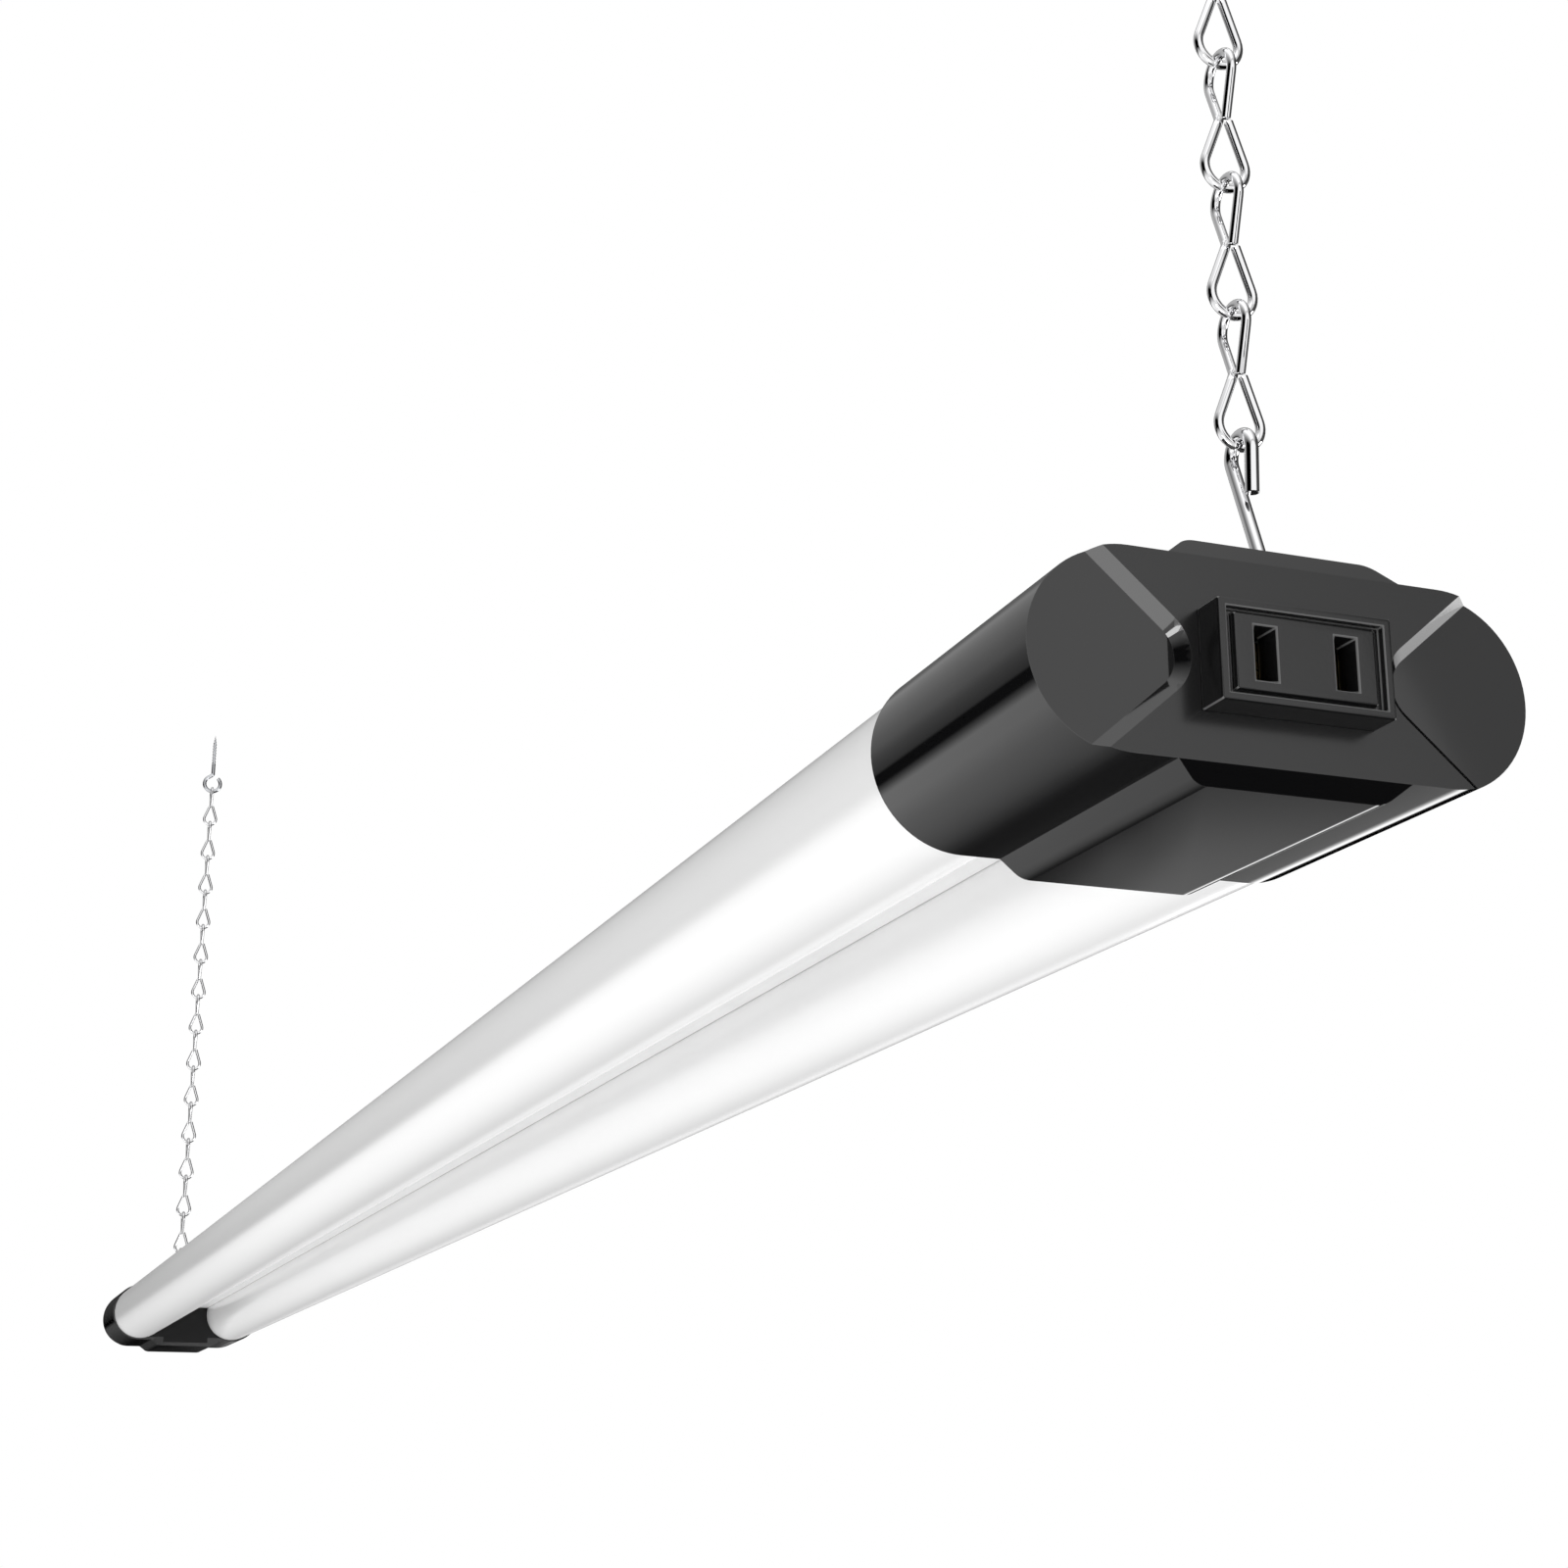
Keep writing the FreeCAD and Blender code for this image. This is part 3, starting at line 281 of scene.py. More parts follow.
def wire_surface(line, guide, radius):
    """A round wire along a line. Each ring is the line's point plus the radius times cos(a) n plus
    sin(a) b, where b is the line's heading crossed with the guide, and n is b crossed with the
    heading. Both ends get one more ring close by, so that the cut edge is a small chamfer."""
    chamfer = WIRE_CHAMFER * float(np.max(radius))
    heading = unit(np.gradient(line, axis=0))
    heading[0], heading[-1] = unit(line[1] - line[0]), unit(line[-1] - line[-2])
    line = np.vstack([line[:1], line[:1] + heading[0] * chamfer, line[1:-1],
                      line[-1:] - heading[-1] * chamfer, line[-1:]])
    guide = np.broadcast_to(guide, heading.shape)
    heading, guide = (np.vstack([part[:1], part, part[-1:]]) for part in (heading, guide))
    across = unit(np.cross(heading, guide))
    normal = np.cross(across, heading)
    radius = np.broadcast_to(radius, (len(line) - 2, WIRE_SIDES))
    radius = np.vstack([radius[:1] - chamfer, radius, radius[-1:] - chamfer])
    angle = np.linspace(0.0, 2 * math.pi, WIRE_SIDES, endpoint=False)[None, :, None]
    ring = np.cos(angle) * normal[:, None] + np.sin(angle) * across[:, None]
    return line[:, None] + radius[:, :, None] * ring, run_length(line)


def turned(profile, origin, along, sides, flute=None):
    """A profile carried round an axis that isn't Y. Each point is the origin, plus the profile's
    first number times the axis, plus its second number times cos(a) and sin(a) of the two
    directions across. The flute takes a little off the radius, by its share in each row."""
    along = np.asarray(along)
    normal = unit(np.cross(ACROSS, along))
    across = np.cross(along, normal)
    angle = np.linspace(0.0, 2 * math.pi, sides, endpoint=False)
    radius = np.broadcast_to(profile[:, 1:], (len(profile), sides))
    radius = radius - (0.0 if flute is None else flute(profile, angle))
    ring = np.cos(angle)[:, None] * normal + np.sin(angle)[:, None] * across
    centre = np.asarray(origin) + profile[:, :1] * along
    return centre[:, None] + radius[:, :, None] * ring[None], run_length(profile)


def softened(node, name, width, slot, painted_highlight=None):
    """A merged copy of a node's surface, its flat faces made whole again and its outermost faces
    along the light marked, with its edges rounded by a bevel whose faces may take a paler finish of
    their own, a painted highlight along the edges."""
    mesh = bpy.data.meshes.new(name)
    shape = bmesh.new()
    shape.from_mesh(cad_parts[node].data)
    bmesh.ops.remove_doubles(shape, verts=shape.verts, dist=MERGE_DISTANCE)
    bmesh.ops.dissolve_limit(shape, angle_limit=FLAT_ANGLE, verts=shape.verts,
                             edges=shape.edges, delimit={"NORMAL"})
    shape.to_mesh(mesh)
    shape.free()
    if "custom_normal" in mesh.attributes:
        mesh.attributes.remove(mesh.attributes["custom_normal"])
    centres = np.zeros(3 * len(mesh.polygons))
    mesh.polygons.foreach_get("center", centres)
    reach = np.abs(centres[0::3])
    outer = (reach > reach.max() - END_FACE_DEPTH).astype(np.float32)
    mesh.attributes.new("End face", "FLOAT", "FACE").data.foreach_set("value", outer)
    mesh.materials.clear()
    rounding = add_piece(name, mesh, "light", slot, node).modifiers.new("Edges", "BEVEL")
    rounding.limit_method = "ANGLE"
    rounding.angle_limit = ROUNDED_ANGLE
    rounding.width = width
    rounding.segments = ROUNDED_SEGMENTS
    rounding.harden_normals = True
    # the bevel's faces take a paler finish, a painted highlight along the edges
    if painted_highlight:
        mesh.materials.append(finish(painted_highlight))
        rounding.material = 1


# ---- shader nodes --------------------------------------------------------------------------
FLOAT = "NodeSocketFloat"
COLOUR = "NodeSocketColor"
GREY = (0.5, 0.5, 0.5, 1.0)
BLACK = (0.0, 0.0, 0.0, 1.0)
WHITE = (1.0, 1.0, 1.0, 1.0)
PATCH_SCALE = 0.23          # of the drift's scale, for its roughness
SLOW_GRAIN_SCALE = 0.04     # of the grain's scale, for what it lies on
WIRE_LINE_SCALE = 0.35
SCUFF_LIMITS = (0.58, 0.72)
SCUFF_ROUGHNESS = 0.03
# painted edge colour: its width, samples, limits and the noise that breaks it up
PAINTED_EDGE_RADIUS = 0.0003
PAINTED_EDGE_SAMPLES = 8
PAINTED_EDGE_LIMITS = (0.985, 0.90)  # cosines between the rounded normal and the shading normal
PAINTED_EDGE_BREAKS = 350.0
METAL_DRIFT = {"change": 0.05, "scale": 220.0}
TUBE_DRIFT = {"change": 0.01, "spread": 0.02, "scale": 25.0}
TUBE_GRAIN, TUBE_DEPTH = 900.0, 0.000003
TUBE_COAT = {"Coat Weight": 0.35, "Coat Roughness": 0.12}
# where the painted glow on a tube's underside starts and where it is full
PAINTED_GLOW_LIMITS = (0.30, 0.85)  # cosines of the turn from a tube's underside


def add(tree, kind, settings=None, sockets=None):
    """Adds a node, sets its settings, and sets or links its inputs."""
    node = tree.nodes.new(kind)
    for name, value in (settings or {}).items():
        setattr(node, name, value)
    for name, value in (sockets or {}).items():
        if isinstance(value, bpy.types.NodeSocket):
            tree.links.new(value, node.inputs[name])
        else:
            node.inputs[name].default_value = value
    return node


def calculate(tree, operation, *values):
    """A Math node's result."""
    return add(tree, "ShaderNodeMath", {"operation": operation}, dict(enumerate(values))).outputs[0]


def span(tree, value, start, stop, low=0.0, high=1.0, kind="LINEAR"):
    """A Map Range node's result, which goes from low to high as the value goes from start to stop."""
    return add(tree, "ShaderNodeMapRange", {"interpolation_type": kind}, {
        "Value": value, "From Min": start, "From Max": stop, "To Min": low, "To Max": high
    }).outputs["Result"]


def mix(tree, factor, first, second):
    """The first colour at a factor of 0, and the second at 1."""
    return add(tree, "ShaderNodeMix", {"data_type": "RGBA"},
               {"Factor": factor, 6: first, 7: second}).outputs[2]


def parts(tree, vector):
    """A vector's numbers, as the outputs X, Y and Z."""
    return add(tree, "ShaderNodeSeparateXYZ", None, {"Vector": vector}).outputs


def on_object(tree):
    """The place in the object's own coordinates."""
    return add(tree, "ShaderNodeTexCoord").outputs["Object"]


def on_surface(tree):
    """The turn and the distance of a piece's surface map, by their names X and Y."""
    return parts(tree, add(tree, "ShaderNodeUVMap", {"uv_map": "Surface"}).outputs["UV"])


def noise(tree, scale, detail, where=None):
    """A Noise Texture's value, on the object's own coordinates unless others are given."""
    where = on_object(tree) if where is None else where
    return add(tree, "ShaderNodeTexNoise", None,
               {"Vector": where, "Scale": scale, "Detail": detail}).outputs["Fac"]


def new_group(name, inputs, outputs):
    """An empty node group with named inputs and outputs."""
    tree = bpy.data.node_groups.new(name, "ShaderNodeTree")
    for label, kind, value in inputs:
        socket = tree.interface.new_socket(label, in_out="INPUT", socket_type=kind)
        socket.default_value = value
    for label, kind in outputs:
        tree.interface.new_socket(label, in_out="OUTPUT", socket_type=kind)
    return tree, tree.nodes.new("NodeGroupInput").outputs, tree.nodes.new("NodeGroupOutput").inputs


def drift_group():
    """Cloudy change over the surface: a colour a little lighter and darker, and a roughness a
    little higher and lower, each by a noise of its own."""
    tree, given, result = new_group(
        "Surface Drift",
        [("Colour", COLOUR, GREY), ("Change", FLOAT, 0.05), ("Roughness", FLOAT, 0.3),
         ("Spread", FLOAT, 0.05), ("Scale", FLOAT, 60.0)],
        [("Colour", COLOUR), ("Roughness", FLOAT)])
    cloud = noise(tree, given["Scale"], detail=3.0)
    patch = noise(tree, calculate(tree, "MULTIPLY", given["Scale"], PATCH_SCALE), detail=2.0)
    level, rough = (
        calculate(tree, "MULTIPLY_ADD", calculate(tree, "SUBTRACT", value, 0.5),
                  calculate(tree, "MULTIPLY", given[reach], 2.0), middle)
        for value, reach, middle in ((cloud, "Change", 1.0), (patch, "Spread", given["Roughness"])))
    shade = add(tree, "ShaderNodeHueSaturation", None, {"Color": given["Colour"], "Value": level})
    tree.links.new(shade.outputs[0], result["Colour"])
    tree.links.new(rough, result["Roughness"])
    return tree


def grain_group():
    """Moulded grain: a height of fine noise on slower noise."""
    tree, given, result = new_group(
        "Moulded Grain", [("Scale", FLOAT, 2500.0), ("Unevenness", FLOAT, 0.3)],
        [("Height", FLOAT)])
    fine = noise(tree, given["Scale"], detail=2.0)
    slow = noise(tree, calculate(tree, "MULTIPLY", given["Scale"], SLOW_GRAIN_SCALE), detail=1.0)
    height = calculate(tree, "MULTIPLY_ADD", slow, given["Unevenness"], fine)
    tree.links.new(height, result["Height"])
    return tree


def drawn_group():
    """Drawn wire: long fine lines along a wire, from noise stretched along its surface map, and a
    mask of small scuffs."""
    tree, given, result = new_group(
        "Drawn Wire", [("Lines", FLOAT, 14.0), ("Scuffs", FLOAT, 700.0)],
        [("Height", FLOAT), ("Scuff", FLOAT)])
    where = on_surface(tree)
    turn = calculate(tree, "MULTIPLY", where["X"], 2 * math.pi)
    spread = [calculate(tree, "MULTIPLY", value, given["Lines"]) for value in (
        calculate(tree, "COSINE", turn), calculate(tree, "SINE", turn), where["Y"])]
    spread = add(tree, "ShaderNodeCombineXYZ", None, dict(zip("XYZ", spread))).outputs[0]
    tree.links.new(noise(tree, WIRE_LINE_SCALE, detail=2.0, where=spread), result["Height"])
    scuff = span(tree, noise(tree, given["Scuffs"], detail=3.0), *SCUFF_LIMITS)
    tree.links.new(scuff, result["Scuff"])
    return tree


def painted_edge_group():
    """Painted edges: a second colour, broken up by noise, where the normal rounded over the edges
    turns away from the shading normal. A paler colour there is a painted highlight, and a darker one
    darkens the edges."""
    tree, given, result = new_group(
        "Painted Edge", [("Colour", COLOUR, GREY), ("Edge", COLOUR, GREY), ("Amount", FLOAT, 0.6)],
        [("Colour", COLOUR)])
    rounded = add(tree, "ShaderNodeBevel", {"samples": PAINTED_EDGE_SAMPLES}, {"Radius": PAINTED_EDGE_RADIUS})
    shading = add(tree, "ShaderNodeNewGeometry").outputs["Normal"]
    cosine = add(tree, "ShaderNodeVectorMath", {"operation": "DOT_PRODUCT"},
                 {0: rounded.outputs["Normal"], 1: shading}).outputs["Value"]
    breaks = noise(tree, PAINTED_EDGE_BREAKS, detail=3.0)
    mask = calculate(tree, "MULTIPLY", span(tree, cosine, *PAINTED_EDGE_LIMITS), breaks)
    mask = calculate(tree, "MULTIPLY", mask, given["Amount"])
    tree.links.new(mix(tree, mask, given["Colour"], given["Edge"]), result["Colour"])
    return tree


GROUPS = {}


def use(tree, maker, sockets):
    """The outputs of a shared group, placed in a material with its own values."""
    if maker not in GROUPS:
        GROUPS[maker] = maker()
    return add(tree, "ShaderNodeGroup", {"node_tree": GROUPS[maker]}, sockets).outputs


def blank(name, kind="ShaderNodeBsdfPrincipled"):
    """A material with only its shader and output."""
    made = bpy.data.materials.new(name)
    made.use_nodes = True
    tree = made.node_tree
    tree.nodes.clear()
    shader = add(tree, kind)
    output = add(tree, "ShaderNodeOutputMaterial")
    tree.links.new(shader.outputs[0], output.inputs["Surface"])
    return made, tree, shader.inputs


def opaque(colour):
    """A colour with full alpha."""
    return (*colour[:3], 1.0)


def drifting(name, colour, roughness, change, spread, scale, end_roughness=None):
    """A material whose colour and roughness drift. Faces across the light's length may be rougher."""
    made, tree, shader = blank(name)
    if end_roughness is not None:
        end = add(tree, "ShaderNodeAttribute", {"attribute_name": "End face"}).outputs["Fac"]
        roughness = calculate(tree, "MULTIPLY_ADD", end, end_roughness - roughness, roughness)
    drift = use(tree, drift_group, {"Colour": opaque(colour), "Change": change,
                                    "Roughness": roughness, "Spread": spread, "Scale": scale})
    tree.links.new(drift["Colour"], shader["Base Color"])
    tree.links.new(drift["Roughness"], shader["Roughness"])
    return made, tree, shader, drift


def raise_by(tree, shader, height, depth):
    """Bumps a surface by a height that stands for a depth in metres."""
    bump = add(tree, "ShaderNodeBump", None, {"Height": height, "Distance": depth, "Strength": 1.0})
    tree.links.new(bump.outputs[0], shader["Normal"])


def moulded(name, colour, roughness, grain=2500.0, depth=0.00001, change=0.06, spread=0.04,
            scale=60.0, specular=0.5, edge=None, end_roughness=None, bands=None):
    """A moulded or painted surface with fine grain in the bump. Its edges may take a second colour:
    a paler one is a painted highlight, and a darker one darkens them. Bands of a second colour may lie
    across one direction of the object's coordinates, as windings, traces and sleeves do: the colour,
    the direction, the spacing and a band's share."""
    made, tree, shader, drift = drifting(name, colour, roughness, change, spread, scale, end_roughness)
    base = drift["Colour"]
    # painted edge colour: a paler one is a painted highlight along the edges
    if edge is not None:
        base = use(tree, painted_edge_group, {"Colour": base, "Edge": opaque(edge)})["Colour"]
    if bands is not None:
        second, direction, spacing, share = bands
        saw = calculate(tree, "DIVIDE", parts(tree, on_object(tree))[direction], spacing)
        band = calculate(tree, "LESS_THAN", calculate(tree, "FRACT", saw), share)
        base = mix(tree, band, base, opaque(second))
    tree.links.new(base, shader["Base Color"])
    shader["Specular IOR Level"].default_value = specular
    raise_by(tree, shader, use(tree, grain_group, {"Scale": grain})["Height"], depth)
    return made


def metal(name, colour, roughness, grain=1800.0, depth=0.000004, spread=0.03, drawn=False):
    """Plated or bare metal. A wire gets lines along itself and scuffs, and a sheet fine grain."""
    made, tree, shader, drift = drifting(name, colour, roughness, spread=spread, **METAL_DRIFT)
    shader["Metallic"].default_value = 1.0
    if drawn:
        given = use(tree, drawn_group, {})
        rough = calculate(tree, "MULTIPLY_ADD", given["Scuff"], SCUFF_ROUGHNESS, drift["Roughness"])
        tree.links.new(rough, shader["Roughness"])
    else:
        given = use(tree, grain_group, {"Scale": grain})
    raise_by(tree, shader, given["Height"], depth)
    return made


def milky(name, colour, roughness):
    """The tubes' milky plastic. The surface map's first number is the turn round the tube from its
    underside, and its cosine gives a painted glow: emission that lights the underside and not the top."""
    made, tree, shader, _ = drifting(name, colour, roughness, **TUBE_DRIFT)
    for label, value in TUBE_COAT.items():
        shader[label].default_value = value
    # painted glow: emission that is full on a tube's underside and none on its top
    turn = calculate(tree, "MULTIPLY", on_surface(tree)["X"], 2 * math.pi)
    level = span(tree, calculate(tree, "COSINE", turn), *PAINTED_GLOW_LIMITS, kind="SMOOTHSTEP")
    painted_glow = opaque(bpy.context.scene.shop_light_colours.painted_glow)
    tree.links.new(mix(tree, level, BLACK, painted_glow), shader["Emission Color"])
    shader["Emission Strength"].default_value = 1.0
    raise_by(tree, shader, use(tree, grain_group, {"Scale": TUBE_GRAIN})["Height"], TUBE_DEPTH)
    return made


FINISHES = {
    # slot or variant: maker, name, colour or the setting that holds it, roughness, what differs
    # edge: a paler colour along the cap's edges, a painted highlight
    "cap_plastic": (moulded, "Cap plastic", "cap", 0.05, dict(
        grain=500.0, depth=0.0000003, spread=0.015, specular=0.80, edge=(0.06, 0.06, 0.06),
        end_roughness=0.25)),
    "bulkhead_plastic": (moulded, "Bulkhead plastic", "cap", 0.32, dict(grain=500.0, specular=0.25)),
    # edge: a paler colour along the outlet's edges, a painted highlight
    "outlet_plastic": (moulded, "Outlet plastic", "outlet", 0.25, dict(
        grain=2600.0, depth=0.000012, specular=0.76, edge=(0.10, 0.10, 0.10))),
    # the outlet's bevel faces, paler than its plastic: a painted highlight along the edges
    "outlet_painted_highlight": (moulded, "Outlet painted highlight", (0.14, 0.14, 0.14), 0.3, dict(grain=2600.0)),
    "milky_tube": (milky, "Milky tube", "tube", 0.26, {}),
    "chain_steel": (metal, "Chain wire", "steel", 0.02, dict(
        drawn=True, depth=0.00000002, spread=0.01)),
    "hanger_wire": (metal, "Hanger wire", "steel", 0.06, dict(drawn=True, depth=0.0000003)),
    "zinc_hook": (metal, "Hook wire", "zinc", 0.12, dict(drawn=True, depth=0.000002)),
    "zinc_bracket": (metal, "Bracket zinc", "zinc", 0.32, {}),
    "zinc_screw": (metal, "Screw zinc", "zinc", 0.24, {}),
    # edge: a darker colour along the housing's edges, through the same painted edge group
    "white_housing": (moulded, "Housing paint", "housing", 0.38, dict(
        grain=900.0, depth=0.0000015, edge=(0.7, 0.7, 0.7))),
    "heat_sink": (metal, "Heat sink", "aluminium", 0.36, dict(grain=700.0, depth=0.00001)),
    "white_board": (moulded, "LED board", (0.80, 0.80, 0.78), 0.35, dict(
        bands=((0.72, 0.74, 0.68), "Y", 0.0040, 0.30))),
    "led": (moulded, "LED package", (0.85, 0.84, 0.80), 0.30, dict(
        bands=((0.85, 0.66, 0.16), "Y", 0.0050, 0.24))),
    "brass": (metal, "Contact brass", (0.80, 0.60, 0.30), 0.28, {}),
    "gland_rubber": (moulded, "Gland rubber", (0.012, 0.012, 0.012), 0.46, dict(
        grain=1600.0, depth=0.00002)),
    "gland_nylon": (moulded, "Gland nylon", (0.020, 0.020, 0.020), 0.40, {}),
    "green_board": (moulded, "Driver board", (0.02, 0.16, 0.06), 0.36, dict(
        bands=((0.05, 0.26, 0.10), "Y", 0.0026, 0.35))),
    "ferrite": (moulded, "Transformer", (0.030, 0.030, 0.032), 0.45, dict(
        bands=((0.60, 0.46, 0.10), "Z", 0.0230, 0.30))),
    "capacitor_sleeve": (moulded, "Capacitor sleeve", (0.02, 0.03, 0.06), 0.30, dict(
        bands=((0.45, 0.47, 0.50), "X", 0.0100, 0.12))),
    "copper_winding": (moulded, "Choke winding", (0.45, 0.16, 0.07), 0.35, dict(
        bands=((0.20, 0.06, 0.03), "X", 0.0008, 0.40))),
    "component_black": (moulded, "Component epoxy", (0.018, 0.018, 0.019), 0.42, {}),
    "terminal_plastic": (moulded, "Terminal plastic", (0.10, 0.22, 0.12), 0.34, {}),
    "wire_black": (moulded, "Black wire", (0.012, 0.012, 0.012), 0.36, {}),
    "wire_white": (moulded, "White wire", (0.72, 0.72, 0.70), 0.36, {}),
    "wire_red": (moulded, "Red wire", (0.50, 0.03, 0.02), 0.36, {}),
    "floor": (moulded, "Floor paint", "floor", 0.7, dict(
        grain=40.0, depth=0.0002, change=0.01, scale=1.5, specular=0.2)),
    "card": (moulded, "Card paint", (0.01, 0.01, 0.01), 0.8, dict(grain=60.0, specular=0.1)),
}
MATERIALS = {}


def finish(name):
    """The material of a slot or of a variant of one, built when it is first asked for."""
    if name not in MATERIALS:
        maker, label, colour, roughness, details = FINISHES[name]
        if isinstance(colour, str):
            colour = getattr(bpy.context.scene.shop_light_colours, colour)
        MATERIALS[name] = maker(label, colour, roughness, **details)
    return MATERIALS[name]


def dress(slot, *nodes, paint=None):
    """Gives solids that stay as they are the material of their slot, or a variant of it."""
    for name in nodes:
        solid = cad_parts[name]
        solid.data.materials.clear()
        solid.data.materials.append(finish(paint or slot))


# ---- operators -----------------------------------------------------------------------------
class SHOPLIGHT_OT_chains(bpy.types.Operator):
    """Bend the wire links of both chains"""
    bl_idname = "shop_light.chains"
    bl_label = "Chains"
    bl_options = {"REGISTER", "UNDO"}

    def line(self, s):
        """A link's centre line from its waist. The upper loop lies along X and the lower one
        across it: a straight leg from the cut end, an arc of the loop's radius, a leg down to the
        waist, the bent strand across, and the same again turned over. The turn beside each point
        goes from 0 to 1 along the strand across, so that the legs aren't twisted."""
        radius = (s.width - s.wire) / 2
        centre = np.array([0.0, (s.pitch + s.gap) / 2 + s.wire / 2 - radius])
        end, waist = np.array(s.end), np.array([-s.waist[0], s.waist[1]])
        first, last = touch(end, centre, radius, 1), touch(waist, centre, radius, -1)
        loop = np.vstack([end, arc(centre, radius, first, last + 2 * math.pi)])
        above = in_plane(loop, ALONG)
        below = in_plane(loop[::-1], ACROSS, (0.0, 0.0, -1.0))
        upper = np.array([waist[0], 0.0, waist[1]])
        lower = np.array([0.0, waist[0], -waist[1]])
        strand = np.vstack([bend(above[-1], upper, lower, s.bend),
                            bend(upper, lower, below[0], s.bend)])
        turn = np.concatenate([np.zeros(len(above)), np.linspace(0.0, 1.0, len(strand)),
                               np.ones(len(below))])
        return np.vstack([above, strand, below]), turn[:, None]

    def execute(self, context):
        s = context.scene.shop_light_chain
        line, turn = self.line(s)
        guide = turn * np.array(ALONG) + (1 - turn) * np.array(ACROSS)
        points, distance = wire_surface(line, guide, s.wire / 2)
        for end, side in ENDS:
            for number in range(1, s.count + 1):
                node = "%s_link_%02d" % (end, number)
                low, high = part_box(node)
                centre = np.array([side * CHAIN_X, 0.0, (low.z + high.z) / 2])
                body = end + ("_top_link" if number == 1 else "_chain")
                mesh_piece("%s_chain_link_%02d" % (end, number), points + centre, distance, False,
                           body, "chain_steel", node)
        return {"FINISHED"}


class SHOPLIGHT_OT_hangers(bpy.types.Operator):
    """Bend the wire hooks that carry the light"""
    bl_idname = "shop_light.hangers"
    bl_label = "Hangers"
    bl_options = {"REGISTER", "UNDO"}

    def line(self, s):
        """A hanger's centre line in its own plane: round the pin, up over the knee, along the
        sloping leg, over the crown and down to the cut tip."""
        pin, knee = np.array([0.0, s.pin_height]), np.array(s.knee)
        crown = np.array([0.0, s.contact + s.wire / 2 - s.crown])
        leave = touch(knee, pin, s.eye, -1)
        rise, drop = touch(s.leg, crown, s.crown, -1), touch(s.tip, crown, s.crown, 1)
        eye = arc(pin, s.eye, leave - s.eye_turn, leave, 2 * ARC_STEPS)
        top = arc(crown, s.crown, rise + 2 * math.pi, drop)
        knee_bend = bend(*(np.append(p, 0.0) for p in (eye[-1], knee, top[0])), s.bend)[:, :2]
        return np.vstack([eye, knee_bend, top, np.array(s.tip)])

    def execute(self, context):
        s = context.scene.shop_light_hanger
        height = context.scene.shop_light_sizes.height
        for end, side in ENDS:
            line = in_plane(self.line(s), (side, 0.0, 0.0)) + (side * CHAIN_X, 0.0, height)
            points, distance = wire_surface(line, ACROSS, s.wire / 2)
            body = "near_chain" if end == "near" else "far_hanger"
            mesh_piece(end + "_hanger_wire", points, distance, False, body, "hanger_wire",
                       end + "_hanger")
        return {"FINISHED"}


class SHOPLIGHT_OT_ceiling_hooks(bpy.types.Operator):
    """Bend the screw hooks in the ceiling and cut their threads"""
    bl_idname = "shop_light.ceiling_hooks"
    bl_label = "Ceiling hooks"
    bl_options = {"REGISTER", "UNDO"}

    def execute(self, context):
        """The screw runs straight down from its point, and a neck bends it into the open ring."""
        s = context.scene.shop_light_hook
        centre = np.array([0.0, -s.contact - s.wire / 2 + s.ring])
        ring = arc(centre, s.ring, s.start, s.stop, 3 * ARC_STEPS)
        heading = s.start + math.pi / 2
        corner = float(ring[0, 1] - math.tan(heading) * ring[0, 0])
        neck = bend((0.0, 0.0, HOOK_TOP), (0.0, 0.0, corner), (0.0, *ring[0]), s.neck_bend)
        height = np.linspace(HOOK_TOP, 0.0, int(THREAD_RINGS * HOOK_TOP / s.thread_pitch))
        line = np.vstack([height[:, None] * np.array(UP), neck, in_plane(ring[1:], ACROSS)])
        points, distance = wire_surface(line, ALONG, self.radius(s, line))
        for end, side in ENDS:
            mesh_piece(end + "_screw_hook", points + (side * CHAIN_X, 0.0, 0.0), distance, False,
                       "ceiling", "zinc_hook", end + "_ceiling_hook")
        return {"FINISHED"}

    def radius(self, s, line):
        """The wire's radius, less a thread: a ridge that winds once round for each pitch of height,
        from the ceiling up, and the whole shrinks to the point along its last part."""
        angle = np.linspace(0.0, 1.0, WIRE_SIDES, endpoint=False)[None, :]
        height = line[:, 2:]
        phase = np.mod(height / s.thread_pitch + angle, 1.0)
        groove = np.clip(THREAD_SLOPE * np.abs(phase - 0.5) - THREAD_CREST, 0.0, 1.0)
        run_in = np.clip(height / s.thread_pitch - THREAD_RUN_IN, 0.0, 1.0)
        taper = np.clip((HOOK_TOP - height) / s.point, POINT_SHARE, 1.0)
        return (s.wire / 2 - s.thread_depth * groove * run_in) * taper


